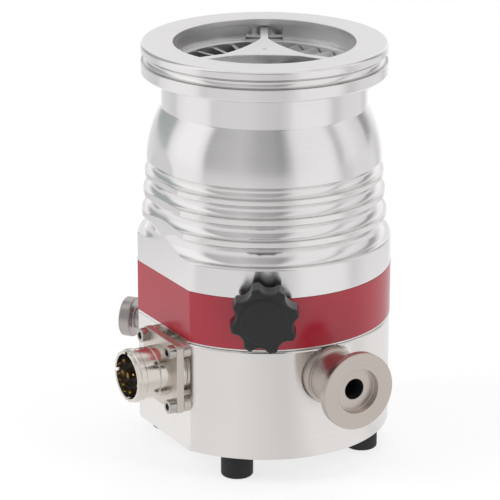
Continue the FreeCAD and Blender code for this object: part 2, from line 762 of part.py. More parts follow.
def magnet_rings(name, inner, outer):
    """A short stack of equal magnet rings."""
    rings = []
    for k in range(magnet_ring_count):
        top = -magnet_stack_top - magnet_ring_pitch * k
        rings.append(turned(f"{name}_{k}", ring_outline(inner, outer, top - magnet_ring_height, top)))
    return group(name, rings)


star_magnet_outer = star_pin_radius + press_gap + star_magnet_wall
rotor_magnet_inner = star_magnet_outer + magnet_air_gap
rotor_magnet_outer = rotor_magnet_inner + rotor_magnet_wall
magnet_stack_bottom = magnet_stack_top + magnet_ring_pitch * magnet_ring_count
safety_top = magnet_stack_bottom + magnet_air_gap
safety_outer = star_pin_radius + press_gap + safety_bearing_wall


def upper_bearing():
    """Repelling magnet rings on the star's pin and in the rotor, and the safety bearing under them."""
    node(magnet_rings("star_magnet", star_pin_radius + press_gap, star_magnet_outer), "star_magnets")
    node(magnet_rings("rotor_magnet", rotor_magnet_inner, rotor_magnet_outer), "rotor_magnet_rings")
    bottom = safety_top + safety_bearing_height
    node(turned("safety_ring", ring_outline(star_pin_radius + press_gap, safety_outer, -bottom, -safety_top)),
         "safety_bearing")


def blade_outline(height, angle):
    """A flat blade cut level at top and bottom, seen along its length: tangent and height."""
    lean = height / 2 / math.tan(math.radians(angle))
    half = blade_thickness / 2 / math.sin(math.radians(angle))
    middle = height / 2
    return [(lean - half, middle), (lean + half, middle), (half - lean, -middle), (-half - lean, -middle)]


def add_blades(body, inner, outer, middle, height, angle, count):
    """Blades that stand out from the axis, all round."""
    outline = [(x, y + middle) for x, y in blade_outline(height, angle)]
    sketch = sketch_on(body, "YZ_Plane", [outline], inner)
    blade = body.newObject("PartDesign::Pad", body.Name + "_blade")
    blade.Profile = sketch
    bind(blade, "Length", outer - inner)
    patterned(body, blade, count)


def rotor():
    """Hub and five bladed stages cut from one piece; each stage turns between two stator discs."""
    tip_radius = ring_inner_radius - tip_gap
    hub_bottom = holweck_top
    magnet_seat = magnet_stack_bottom
    safety_hole = safety_outer + safety_gap
    recess_bottom = star_depth + star_thickness + star_pin_length + safety_gap
    shaft_top = sleeve_top() - shaft_grip
    outline = [(rotor_magnet_outer + press_gap, -rotor_top), (hub_radius, -rotor_top),
               (hub_radius, -hub_bottom), (shaft_radius + press_gap, -hub_bottom),
               (shaft_radius + press_gap, -shaft_top), (0, -shaft_top), (0, -recess_bottom),
               (safety_hole, -recess_bottom), (safety_hole, -magnet_seat),
               (rotor_magnet_outer + press_gap, -magnet_seat)]
    body = turned("rotor_body", outline)
    for k, (count, angle) in enumerate(zip(rotor_blades, rotor_angles)):
        top = stack_levels[2 * k] + stage_gap
        bottom = stack_levels[2 * k] + spacer_heights[k] - stage_gap
        add_blades(body, hub_radius - blade_root, tip_radius, -(top + bottom) / 2, bottom - top, angle, count)
    node(body, "rotor")


def sleeve_top():
    """Depth of the face where the Holweck sleeve's disc meets the hub."""
    return holweck_top


def holweck_sleeve():
    """A thin tube on a disc, hung under the hub."""
    outer = holweck_inner_radius - sleeve_gap
    top = sleeve_top()
    outline = [(shaft_radius + press_gap, -top), (outer, -top), (outer, -top - sleeve_height),
               (outer - sleeve_wall, -top - sleeve_height), (outer - sleeve_wall, -top - sleeve_disc),
               (shaft_radius + press_gap, -top - sleeve_disc)]
    node(turned("sleeve_body", outline), "holweck_sleeve")


def rotor_shaft():
    """The steel shaft, thinner at the lower bearing."""
    top = sleeve_top() - shaft_grip + press_gap
    shoulder = motor_bore_depth + bearing_lip
    bottom = shoulder + bearing_width + nut_gap + nut_height
    outline = [(0, -top), (shaft_radius, -top), (shaft_radius, -shoulder), (journal_radius, -shoulder),
               (journal_radius, -bottom), (0, -bottom)]
    node(turned("shaft_body", outline), "rotor_shaft")


def spacer_rings():
    """Plain rings that hold the stator discs apart."""
    for k, height in enumerate(spacer_heights):
        top = stack_levels[2 * k]
        name = f"spacer_ring_{k + 1}"
        outline = ring_outline(ring_inner_radius, ring_outer_radius, -top - height, -top)
        node(turned(name + "_body", outline), name)


def stator_discs():
    """Bladed discs, each an outer ring, a ring of blades and a thin inner ring."""
    for k, height in enumerate(stator_heights):
        top = stack_levels[2 * k + 1]
        name = f"stator_disc_{k + 1}"
        inner = hub_radius + hub_gap
        body = turned(name + "_body", ring_outline(ring_inner_radius, ring_outer_radius, -top - height, -top))
        add_blades(body, inner + stator_inner_ring / 2, ring_inner_radius + blade_root, -top - height / 2,
                   height, 180 - stator_angles[k], stator_blades[k])
        body.Tip = turn(body, ring_outline(inner, inner + stator_inner_ring, -top - height, -top))
        node(body, name)


def holweck_stator():
    """The thick sleeve round the drag stage, with the vent channel through its wall."""
    body = turned("holweck_turned", ring_outline(holweck_inner_radius, ring_outer_radius, -base_top,
                                                 -holweck_top))
    hole = drill("holweck_vent", vent_hole_radius, vent_azimuth, -vent_depth, hub_radius, body_radius)
    node(cut("holweck_cut", body, [hole]), "holweck_stator")


def motor():
    """Stator pressed into the base bore, magnet on the shaft."""
    inner = motor_magnet_radius + motor_air_gap
    stator_top = motor_bore_depth - motor_stator_height
    stator = turned("motor_stator_body", ring_outline(inner, motor_bore_radius - press_gap, -motor_bore_depth,
                                                      -stator_top))
    node(stator, "motor_stator")
    middle = motor_bore_depth - motor_stator_height / 2
    half = motor_magnet_height / 2
    magnet = turned("motor_magnet_body", ring_outline(shaft_radius + press_gap, motor_magnet_radius,
                                                      -middle - half, half - middle))
    node(magnet, "motor_magnet")


def lower_bearing():
    """Inner and outer rings with race grooves, eight balls in a cage, and the damper ring round them."""
    top = motor_bore_depth + bearing_lip
    bottom = top + bearing_width
    middle = top + bearing_width / 2
    groove = ball_radius + race_play
    span = root(groove * groove - race_shoulder * race_shoulder)
    inner_face = ball_circle - race_shoulder
    outer_face = ball_circle + race_shoulder
    inner = turned("inner_ring_body",
                   [(journal_radius + press_gap, -top), (inner_face, -top), (inner_face, span - middle),
                    (inner_face, -middle - span, LEFT, groove), (inner_face, -bottom),
                    (journal_radius + press_gap, -bottom)])
    node(inner, "bearing_inner_ring")
    outer = turned("outer_ring_body",
                   [(outer_face, -top), (bearing_outer_radius, -top), (bearing_outer_radius, -bottom),
                    (outer_face, -bottom), (outer_face, -middle - span),
                    (outer_face, span - middle, LEFT, groove)])
    node(outer, "bearing_outer_ring")
    ring = turned("cage_ring", ring_outline(ball_circle - cage_half, ball_circle + cage_half,
                                            -middle - cage_width / 2, cage_width / 2 - middle))
    pockets = []
    balls = []
    for k in range(ball_count):
        azimuth = 360 * k / ball_count
        pockets.append(drill(f"cage_pocket_{k}", ball_radius + press_gap, azimuth, -middle, journal_radius,
                             bearing_outer_radius))
        ball = doc.addObject("Part::Sphere", f"ball_{k}")
        bind(ball, "Radius", ball_radius)
        x, y = around(azimuth, ball_circle)
        bind(ball, "Placement.Base.x", x)
        bind(ball, "Placement.Base.y", y)
        bind(ball, "Placement.Base.z", -middle)
        balls.append(ball)
    node(cut("cage_cut", ring, pockets), "bearing_cage")
    node(group("ball_group", balls), "bearing_balls")
    damper_inner = bearing_outer_radius + press_gap
    node(turned("damper_body", ring_outline(damper_inner, bearing_outer_radius + damper_wall, -bottom, -top)),
         "bearing_damper")
    nut_top = bottom + press_gap
    nut = turned("nut_body", [(journal_radius + press_gap, -nut_top), (nut_radius, -nut_top),
                              (journal_radius + nut_tip_wall, -nut_top - nut_height),
                              (journal_radius + press_gap, -nut_top - nut_height)])
    node(nut, "splash_nut")
    wick_bottom = pump_height - cover_thickness
    node(turned("wick_body", ring_outline(wick_inner_radius, wick_outer_radius, -wick_bottom,
                                          wick_height - wick_bottom)), "wick_reservoir")


def base_cover():
    """A round cap under the lower bearing, with two holes for a pin spanner and an O-ring in its rim."""
    groove = 2 * cover_seal_cord
    top = pump_height - cover_thickness
    groove_top = top + cover_thickness / 4
    outline = [(0, -top), (cover_radius, -top), (cover_radius, -groove_top),
               (cover_radius - groove, -groove_top),
               (cover_radius - groove, -groove_top - groove - groove_play),
               (cover_radius, -groove_top - groove - groove_play), (cover_radius, -pump_height),
               (0, -pump_height)]
    body = turned("cover_turned", outline)
    holes = [cylinder(f"cover_hole_{k}", spanner_hole_radius, -pump_height, cover_thickness / 2 - pump_height,
                      spanner_hole_circle * side, 0) for k, side in enumerate((-1, 1))]
    node(cut("cover_cut", body, holes), "base_cover")
    seal = doc.addObject("Part::Torus", "cover_seal")
    bind(seal, "Radius1", cover_radius - cover_seal_cord + press_gap)
    bind(seal, "Radius2", cover_seal_cord - press_gap)
    bind(seal, "Placement.Base.z", -groove_top - groove / 2 - groove_play / 2)
    node(seal, "cover_o_ring")


def rubber_feet():
    """Four round feet, each with a stem pushed into the base."""
    for k, azimuth in enumerate(foot_azimuths):
        name = f"rubber_foot_{k + 1}"
        foot = turned(name + "_body",
                      [(0, foot_stem_length), (foot_stem_radius, foot_stem_length), (foot_stem_radius, 0),
                       (foot_radius, 0), (foot_radius, foot_edge - foot_height),
                       (foot_radius - foot_edge, -foot_height, RIGHT, foot_edge), (0, -foot_height)])
        x, y = around(azimuth, foot_circle)
        bind(foot, "Placement.Base.x", x)
        bind(foot, "Placement.Base.y", y)
        bind(foot, "Placement.Base.z", -pump_height)
        node(foot, name)


def foreline_port():
    """A small clamp flange on a tube, screwed into the base on a washer."""
    collar_bottom = port_seat + port_washer
    taper_bottom = port_reach - port_rim - port_taper
    outline = [(port_bore_radius, collar_bottom - port_spigot_length),
               (port_bore_radius, port_reach - port_recess),
               (port_recess_radius, port_reach - port_recess), (port_recess_radius, port_reach),
               (port_flange_radius, port_reach), (port_flange_radius, port_reach - port_rim),
               (port_tube_radius, taper_bottom), (port_tube_radius, collar_bottom + port_collar),
               (port_collar_radius, collar_bottom + port_collar), (port_collar_radius, collar_bottom),
               (port_spigot_radius, collar_bottom), (port_spigot_radius, collar_bottom - port_spigot_length)]
    node(face_outward(turned("port_body", outline), 0, -port_depth), "foreline_port")
    washer = turned("port_washer_body", ring_outline(port_spigot_radius + press_gap,
                                                     port_collar_radius - port_washer_inset, port_seat,
                                                     collar_bottom))
    node(face_outward(washer, 0, -port_depth), "foreline_port_seal")


def vent_valve():
    """A knob with eight lobes on a threaded spindle, its cap, and the O-ring under the spindle's collar."""
    ring_middle = vent_seat + vent_ring_cord
    collar_bottom = vent_seat + 2 * vent_ring_cord + press_gap
    ring = doc.addObject("Part::Torus", "vent_ring")
    bind(ring, "Radius1", vent_spindle_radius + vent_ring_play + vent_ring_cord)
    bind(ring, "Radius2", vent_ring_cord - press_gap)
    node(face_outward(ring, vent_azimuth, -vent_depth, 0, ring_middle), "vent_o_ring")

    spindle = turned("spindle_body", [(0, knob_back), (vent_collar_radius, knob_back),
                                      (vent_collar_radius, collar_bottom),
                                      (vent_spindle_radius, collar_bottom),
                                      (vent_spindle_radius, vent_spindle_tip), (0, vent_spindle_tip)])
    node(face_outward(spindle, vent_azimuth, -vent_depth), "vent_spindle")

    knob = new_body("knob_body")
    front = knob_back + knob_thickness
    turn(knob, [(0, front - knob_cap_sunk), (knob_cap_radius + press_gap, front - knob_cap_sunk),
                (knob_cap_radius + press_gap, front), (knob_radius - knob_edge, front),
                (knob_radius, front - knob_edge, RIGHT, knob_edge), (knob_radius, knob_back + knob_edge),
                (knob_radius - knob_edge, knob_back, RIGHT, knob_edge), (0, knob_back)])
    centre = knob_valley_radius + knob_scallop_radius
    sketch = knob.newObject("Sketcher::SketchObject", "scallop_sketch")
    plane = next(item for item in knob.Origin.OriginFeatures if item.Role == "XY_Plane")
    sketch.AttachmentSupport = [(plane, "")]
    sketch.MapMode = "FlatFace"
    bind(sketch, "AttachmentOffset.Base.z", front + overshoot)
    lean = math.radians(knob_first_valley.value)
    across = centre * math.cos(lean)
    along = centre * math.sin(lean)
    sketch.addGeometry(Part.Circle(Vector(across.value, along.value, 0), Vector(0, 0, 1),
                                   knob_scallop_radius.value), False)
    for kind, value in (("DistanceX", across), ("DistanceY", along)):
        rule = sketch.addConstraint(Sketcher.Constraint(kind, -1, 1, 0, 3, value.value))
        sketch.setExpression(f"Constraints[{rule}]", value.formula)
    rule = sketch.addConstraint(Sketcher.Constraint("Radius", 0, knob_scallop_radius.value))
    sketch.setExpression(f"Constraints[{rule}]", knob_scallop_radius.formula)
    scallop = knob.newObject("PartDesign::Pocket", "scallop")
    scallop.Profile = sketch
    bind(scallop, "Length", knob_thickness + 2 * overshoot)
    patterned(knob, scallop, knob_lobes)
    node(face_outward(knob, vent_azimuth, -vent_depth), "vent_knob")

    cap = turned("cap_body", [(0, front + knob_cap_proud),
                              (knob_cap_radius - knob_cap_proud, front + knob_cap_proud),
                              (knob_cap_radius, front, RIGHT, knob_cap_proud),
                              (knob_cap_radius, front - knob_cap_sunk), (0, front - knob_cap_sunk)])
    node(face_outward(cap, vent_azimuth, -vent_depth), "knob_cap")


# Keyways in the connector shell: where they lie round it, and how far in they begin, as a share of
# its bore
KEYWAY_ANGLES = (90, 215, 325)
KEYWAY_START_SHARE = 0.9


def connector():
    """A square plate on four spacers, with a round shell that holds a black insert and gold pins."""
    plate_back = flat_distance + spacer_length
    plate_front = plate_back + plate_thickness
    rim = plate_front + shell_length
    half = plate_width / 2
    corner = half - plate_corner

    plate = new_body("plate_body")
    rounded = [(corner, half), (half, corner, RIGHT, plate_corner), (half, -corner),
               (corner, -half, RIGHT, plate_corner), (-corner, -half), (-half, -corner, RIGHT, plate_corner),
               (-half, corner), (-corner, half, RIGHT, plate_corner)]
    pad(plate, [rounded], plate_back, plate_thickness)
    plate_holes = []
    for k, (right, up) in enumerate(plate_corners()):
        plate_holes.append(cylinder(f"plate_hole_{k}", plate_screw_radius + screw_play, plate_back,
                                    plate_front, right, up))
    plate_holes.append(cylinder("plate_shell_hole", shell_radius + press_gap, plate_back, plate_front))
    node(face_connector(cut("plate_cut", plate, plate_holes)), "connector_plate")

    inner = shell_radius - shell_wall
    ring_bottom = rim - shell_ring_setback - shell_ring_width
    shell = turned("shell_body",
                   [(inner, rim), (shell_radius, rim), (shell_radius, ring_bottom + shell_ring_width),
                    (shell_radius + shell_ring_height, ring_bottom + shell_ring_width),
                    (shell_radius + shell_ring_height, ring_bottom), (shell_radius, ring_bottom),
                    (shell_radius, plate_back), (shell_radius + shell_shoulder, plate_back),
                    (shell_radius + shell_shoulder, flat_distance + press_gap),
                    (inner, flat_distance + press_gap)])
    slots = []
    for k, angle in enumerate(KEYWAY_ANGLES):
        slot = block(f"shell_slot_{k}", (0, 0, 0), (1, 1, 1))
        spin = Rotation(Vector(0, 0, 1), angle)
        slot.Placement = Placement(Vector(), spin)
        bind(slot, "Length", shell_radius)
        bind(slot, "Width", keyway_width)
        bind(slot, "Height", shell_ring_setback + overshoot)
        turn_angle = math.radians(angle)
        across = keyway_width / 2
        start = inner * KEYWAY_START_SHARE
        bind(slot, "Placement.Base.x", start * math.cos(turn_angle) + across * math.sin(turn_angle))
        bind(slot, "Placement.Base.y", start * math.sin(turn_angle) - across * math.cos(turn_angle))
        bind(slot, "Placement.Base.z", rim - shell_ring_setback)
        slots.append(slot)
    node(face_connector(cut("shell_cut", shell, slots)), "connector_shell")

    insert_face = rim - insert_depth
    insert_bottom = flat_distance + shell_shoulder
    insert = turned("insert_body", ring_pin(inner - insert_play, insert_bottom, insert_face))
    holes = []
    pins = []
    for ring_number, (count, circle) in enumerate(pin_rings):
        for k in range(count):
            angle = 2 * math.pi * (k + 0.5) / count
            x = circle * math.cos(angle)
            y = circle * math.sin(angle)
            holes.append(cylinder(f"insert_hole_{ring_number}_{k}", pin_radius + press_gap, insert_bottom,
                                  insert_face, x, y))
            pins.append(cylinder(f"pin_{ring_number}_{k}", pin_radius, insert_bottom - pin_tail,
                                 insert_face + pin_proud, x, y))
    node(face_connector(cut("insert_cut", insert, holes)), "connector_insert")
    node(face_connector(group("pin_group", pins)), "connector_pins")

    spacers = []
    screws = []
    for k, (right, up) in enumerate(plate_corners()):
        spacer = turned(f"plate_spacer_{k}", ring_outline(plate_screw_radius + screw_play, spacer_radius,
                                                          flat_distance, plate_back))
        bind(spacer, "Placement.Base.x", right)
        bind(spacer, "Placement.Base.y", up)
        spacers.append(spacer)
        screw = socket_screw(f"plate_screw_{k}", plate_screw_radius, plate_screw_head_radius,
                             plate_screw_head, plate_thickness + spacer_length + plate_screw_grip)
        bind(screw, "Placement.Base.x", right)
        bind(screw, "Placement.Base.y", up)
        bind(screw, "Placement.Base.z", plate_front)
        screws.append(screw)
    node(face_connector(group("plate_spacer_group", spacers)), "connector_spacers")
    node(face_connector(group("plate_screw_group", screws)), "connector_screws")


def face_connector(thing):
    """Stand a connector piece on the flat."""
    return face_outward(thing, connector_azimuth, -connector_depth, connector_side)


def purge_plug():
    """A round-headed plug with a neck, on a washer."""
    head_bottom = plug_reach - plug_thickness
    outline = [(0, plug_reach), (plug_radius - plug_edge, plug_reach), (plug_radius, plug_reach - plug_edge),
               (plug_radius, head_bottom + plug_edge), (plug_radius - plug_edge, head_bottom),
               (plug_neck_radius, head_bottom), (plug_neck_radius, plug_tip), (0, plug_tip)]
    node(face_outward(turned("plug_body", outline), plug_azimuth, -port_depth), "purge_plug")
    washer = turned("plug_washer_body", ring_outline(plug_neck_radius + press_gap, plug_washer_radius,
                                                     plug_seat, plug_seat + plug_washer))
    node(face_outward(washer, plug_azimuth, -port_depth), "purge_plug_seal")


pump_housing()
colour_band()
base_body()
housing_screws()
bearing_star()
upper_bearing()
rotor()
holweck_sleeve()
rotor_shaft()
spacer_rings()
stator_discs()
holweck_stator()
motor()
lower_bearing()
base_cover()
rubber_feet()
foreline_port()
vent_valve()
connector()
purge_plug()

doc.recompute()
for thing in doc.Objects:
    if "Invalid" in thing.State or "Error" in thing.State:
        raise RuntimeError(f"{thing.Label} could not be made: {thing.State}")
for thing in nodes:
    if thing.Shape.isNull() or not thing.Shape.isValid():
        raise RuntimeError(f"{thing.Label} has no valid shape")
for thing in nodes:
    thing.Shape.exportStep(f"parts/{thing.Label}.step")
    print(f"{thing.Label}: {len(thing.Shape.Solids)} solids, {thing.Shape.Volume:.1f} cubic mm")
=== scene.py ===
import json
from math import acos, atan2, cos, exp, log, pi, radians, sin, sqrt

import bmesh
import bpy
from mathutils import Matrix, Vector


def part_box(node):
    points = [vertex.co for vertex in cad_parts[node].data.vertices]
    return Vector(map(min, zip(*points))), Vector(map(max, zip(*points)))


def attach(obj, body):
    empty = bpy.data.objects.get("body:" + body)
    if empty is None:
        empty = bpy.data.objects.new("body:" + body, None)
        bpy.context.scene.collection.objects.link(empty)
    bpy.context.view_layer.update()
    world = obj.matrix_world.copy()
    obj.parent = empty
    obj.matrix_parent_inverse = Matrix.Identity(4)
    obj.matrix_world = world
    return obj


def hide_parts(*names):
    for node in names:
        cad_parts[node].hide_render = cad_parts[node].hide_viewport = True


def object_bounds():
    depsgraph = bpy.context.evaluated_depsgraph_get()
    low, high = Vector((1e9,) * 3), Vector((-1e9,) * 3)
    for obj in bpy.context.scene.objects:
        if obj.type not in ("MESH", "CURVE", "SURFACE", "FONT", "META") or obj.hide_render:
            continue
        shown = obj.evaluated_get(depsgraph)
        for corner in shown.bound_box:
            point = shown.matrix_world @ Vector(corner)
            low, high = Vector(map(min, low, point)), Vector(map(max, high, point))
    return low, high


# A turbomolecular vacuum pump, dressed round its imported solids, in metres. The origin is the centre of
# the inlet flange's face and +Z points out of the inlet.
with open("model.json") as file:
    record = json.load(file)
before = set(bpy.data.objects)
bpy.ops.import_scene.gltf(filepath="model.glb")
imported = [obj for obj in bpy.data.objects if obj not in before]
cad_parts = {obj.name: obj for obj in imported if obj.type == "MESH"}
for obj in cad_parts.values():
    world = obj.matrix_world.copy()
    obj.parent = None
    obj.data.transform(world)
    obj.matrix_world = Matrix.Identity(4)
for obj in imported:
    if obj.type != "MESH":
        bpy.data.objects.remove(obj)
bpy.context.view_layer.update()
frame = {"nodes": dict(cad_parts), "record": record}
MM = 0.001

# Camera. It stands in front of the pump's narrow left flat, well back with a long lens, and looks
# down a little, so that the inlet shows as a flat oval.
CAMERA_AZIMUTH = -30.226
CAMERA_DISTANCE = 965.67 * MM
CAMERA_HEIGHT = 242.12 * MM
CAMERA_TURN = 0.325
CAMERA_DOWN = 18.677
CAMERA_ROLL = 0.035
CAMERA_LENS = 187.55
camera = bpy.data.objects.new("camera", bpy.data.cameras.new("camera"))
bpy.context.scene.collection.objects.link(camera)
bpy.context.scene.camera = camera
camera.data.lens = CAMERA_LENS
camera.data.sensor_width = 36
camera.data.clip_start = 0.05
camera.data.clip_end = 20


def around(azimuth, circle, level=0.0):
    """The frame of an upright piece on a circle. Azimuths run from -Y towards +X."""
    angle = radians(azimuth)
    return Matrix.Translation((circle * sin(angle), -circle * cos(angle), level))


heading = Matrix.Rotation(radians(CAMERA_AZIMUTH + CAMERA_TURN), 4, "Z")
tilt = Matrix.Rotation(radians(90 - CAMERA_DOWN), 4, "X")
roll = Matrix.Rotation(radians(CAMERA_ROLL), 4, "Z")
camera.matrix_world = around(CAMERA_AZIMUTH, CAMERA_DISTANCE, CAMERA_HEIGHT) @ heading @ tilt @ roll
bpy.context.scene.view_settings.view_transform = "Standard"


# Studio: a pale floor that shows white, with painted reflection bands that only the metal sees, and a
# soft surround whose broad grey and white panels give the bare metal its upright bands. Large lamps hang
# over each shoulder and behind the pump.
class Graph:
    """A node tree. It makes nodes with one method."""

    def __init__(self, tree):
        self.tree = tree
        tree.nodes.clear()

    def make(self, kind, settings=None, output=0, **sockets):
        """Add a node: its settings first, then its sockets, by name or as n0, n1 by number."""
        node = self.tree.nodes.new(kind)
        for name, value in (settings or {}).items():
            if name == "stops":
                self.fill_ramp(node.color_ramp, value)
            else:
                setattr(node, name, value)
        for name, value in sockets.items():
            number = name[1:]
            socket = node.inputs[int(number) if number.isdigit() else name.replace("_", " ")]
            if isinstance(value, Signal):
                self.tree.links.new(value.socket, socket)
            else:
                socket.default_value = value
        return Signal(self, node.outputs[output]) if node.outputs else node

    def fill_ramp(self, ramp, stops):
        """Set a ramp's stops from pairs of position and grey or colour."""
        while len(ramp.elements) > 1:
            ramp.elements.remove(ramp.elements[-1])
        for index, (position, value) in enumerate(stops):
            element = ramp.elements[0] if index == 0 else ramp.elements.new(position)
            element.position = position
            element.color = (*value, 1) if isinstance(value, tuple) else (value, value, value, 1)


class Signal:
    """A node's output. Arithmetic on it adds Math nodes."""

    def __init__(self, graph, socket):
        self.graph = graph
        self.socket = socket

    def math(self, operation, *values, clamp=False):
        settings = {"operation": operation, "use_clamp": clamp}
        sockets = {f"n{index}": value for index, value in enumerate(values)}
        return self.graph.make("ShaderNodeMath", settings, **sockets)

    def __add__(self, other):
        return self.math("ADD", self, other)

    def __sub__(self, other):
        return self.math("SUBTRACT", self, other)

    def __mul__(self, other):
        return self.math("MULTIPLY", self, other)

    def __truediv__(self, other):
        return self.math("DIVIDE", self, other)

    def __rsub__(self, other):
        return self.math("SUBTRACT", other, self)

    def __lt__(self, other):
        return self.math("LESS_THAN", self, other)

    def __gt__(self, other):
        return self.math("GREATER_THAN", self, other)

    def root(self):
        """The square root."""
        return self.math("SQRT", self)

    def absolute(self):
        """The value without its sign."""
        return self.math("ABSOLUTE", self)

    def limited(self):
        """Keep the value between 0 and 1."""
        return self.math("ADD", self, 0.0, clamp=True)

    def part(self, index):
        """One component of a vector."""
        return self.graph.make("ShaderNodeSeparateXYZ", output=index, Vector=self)

    def from_axis(self):
        """The distance of a place from the Z axis."""
        across = self.part(0)
        up = self.part(1)
        return (across * across + up * up).root()

    def turn_share(self):
        """The azimuth of a place or a direction as a share of a turn. The camera's own is 0.5."""
        angle = self.math("ARCTAN2", self.part(0), 0 - self.part(1))
        return self.math("FRACT", (angle - radians(CAMERA_AZIMUTH)) / (2 * pi) + 1.5)

    def noise(self, scale, detail):
        """Cloudy noise over a place."""
        return self.graph.make("ShaderNodeTexNoise", Vector=self, Scale=scale, Detail=detail)

    def ramp(self, stops):
        """Send the value through a ramp."""
        return self.graph.make("ShaderNodeValToRGB", {"stops": stops}, Fac=self)

    def mix(self, low, high):
        """A colour between two by this value. Each is a signal, or red, green and blue."""
        ends = [value if isinstance(value, Signal) else (*value, 1) for value in (low, high)]
        return self.graph.make("ShaderNodeMix", {"data_type": "RGBA"}, output=2, n0=self, n6=ends[0],
                               n7=ends[1])

    def sibling(self, name):
        """Another output of the same node."""
        return Signal(self.graph, self.socket.node.outputs[name])


def material(name):
    """An empty node material, its graph and the place on the object."""
    made = bpy.data.materials.new(name)
    made.use_nodes = True
    graph = Graph(made.node_tree)
    return made, graph, graph.make("ShaderNodeTexCoord", output="Object")


def seen_directly(graph):
    """1 on rays from the camera, from a glossy surface or through glass."""
    path = graph.make("ShaderNodeLightPath", output="Is Camera Ray")
    return (path + path.sibling("Is Glossy Ray") + path.sibling("Is Transmission Ray")).limited()


# The turned walls mirror the table round the pump, which glows only in reflections, in painted greys
# that
# change from side to side: a painted reflection. These are its greys by share of a turn, far out and
# close by.
FAR_LIGHT = [
    (0.0, 1.0), (0.055, 1.0), (0.072, 0.78), (0.117, 0.74), (0.183, 0.66), (0.206, 0.81), (0.25, 0.89),
    (0.31, 0.89), (0.328, 0.84), (0.342, 0.69), (0.37, 0.72), (0.46, 0.72), (0.5, 0.66), (0.545, 0.62),
    (0.57, 0.7), (0.592, 0.85), (0.62, 0.87), (0.69, 0.86), (0.705, 0.8), (0.722, 0.63), (0.74, 0.65),
    (0.77, 0.75), (0.86, 0.78), (0.883, 0.65), (0.905, 0.77), (0.93, 0.93), (0.95, 1.0), (1.0, 1.0)]
NEAR_LIGHT = [
    (0.0, 0.91), (0.17, 0.87), (0.31, 0.9), (0.328, 0.84), (0.345, 0.77), (0.44, 0.79), (0.5, 0.72),
    (0.545, 0.67), (0.57, 0.73), (0.592, 0.82), (0.69, 0.82), (0.705, 0.79), (0.725, 0.73),
    (0.77, 0.82), (0.87, 0.84), (0.92, 0.91), (1.0, 0.91)]
FAR_REACH = 0.34
NEAR_REACH = 0.22
FLOOR_HALF = 4.0
FLOOR_WHITE = 0.92
SEEN_GLOW = 0.72
MIRRORED_GLOW = 0.28
floor_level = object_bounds()[0][2]
floor_corners = [(x * FLOOR_HALF, y * FLOOR_HALF, floor_level)
                 for x, y in ((-1, -1), (1, -1), (1, 1), (-1, 1))]
floor_mesh = bpy.data.meshes.new("floor")
floor_mesh.from_pydata(floor_corners, [], [(0, 1, 2, 3)])
floor = bpy.data.objects.new("floor", floor_mesh)
bpy.context.scene.collection.objects.link(floor)
floor_material, floor_graph, table = material("white_floor_painted_reflection")
floor_colour = (FLOOR_WHITE, FLOOR_WHITE, FLOOR_WHITE, 1)
floor_paint = floor_graph.make("ShaderNodeBsdfDiffuse", Color=floor_colour)
farness = ((table.from_axis() - NEAR_REACH) / (FAR_REACH - NEAR_REACH)).limited()
table_share = table.turn_share()
# Painted reflection: glossy rays see the floor glow in these greys, which give the metal its bands
painted_table_reflection = farness.mix(table_share.ramp(NEAR_LIGHT), table_share.ramp(FAR_LIGHT))
mirrored = floor_graph.make("ShaderNodeLightPath", output="Is Glossy Ray")
glow_tone = mirrored.mix((1, 1, 1), painted_table_reflection)
floor_glow = floor_graph.make("ShaderNodeEmission", Color=glow_tone, Strength=1.0)
floor_share = (seen_directly(floor_graph) * SEEN_GLOW + mirrored * MIRRORED_GLOW).limited()
floor_mix = floor_graph.make("ShaderNodeMixShader", n0=floor_share, n1=floor_paint, n2=floor_glow)
floor_graph.make("ShaderNodeOutputMaterial", Surface=floor_mix)
floor_mesh.materials.append(floor_material)

# The surround's upright panels by share of a turn, and the plain light at its top
PANELS = [
    (0.0, 0.8), (0.04, 0.97), (0.069, 0.75), (0.086, 0.46), (0.111, (0.38, 0.42, 0.41)),
    (0.186, (0.41, 0.45, 0.44)), (0.208, 0.84), (0.24, 0.96), (0.303, 0.97), (0.322, 0.84),
    (0.338, 0.44), (0.367, 0.5), (0.433, 0.56), (0.489, 0.43), (0.522, 0.4), (0.549, 0.33),
    (0.562, 0.42), (0.587, 0.76), (0.611, 0.83), (0.69, 0.85), (0.705, 0.78), (0.715, 0.53),
    (0.727, 0.55), (0.742, 0.78), (0.767, 0.84), (0.833, 0.69), (0.847, 0.34), (0.869, 0.38),
    (0.892, 0.66), (0.914, 0.9), (0.955, 0.97), (1.0, 0.8)]
OVERHEAD = [(0.0, 0.0), (0.86, 0.0), (0.97, 1.0), (1.0, 1.0)]
TOP_LIGHT = (0.8, 0.8, 0.81)
world = bpy.data.worlds.new("studio")
bpy.context.scene.world = world
world.use_nodes = True
sky = Graph(world.node_tree)
direction = sky.make("ShaderNodeTexCoord", output="Generated")
surround = direction.part(2).ramp(OVERHEAD).mix(direction.turn_share().ramp(PANELS), TOP_LIGHT)
panel_light = sky.make("ShaderNodeBackground", Color=surround, Strength=1.0)
plain_white = sky.make("ShaderNodeBackground", Color=(1, 1, 1, 1), Strength=1.0)
camera_ray = sky.make("ShaderNodeLightPath", output="Is Camera Ray")
shown = sky.make("ShaderNodeMixShader", n0=camera_ray, n1=panel_light, n2=plain_white)
sky.make("ShaderNodeOutputWorld", Surface=shown)

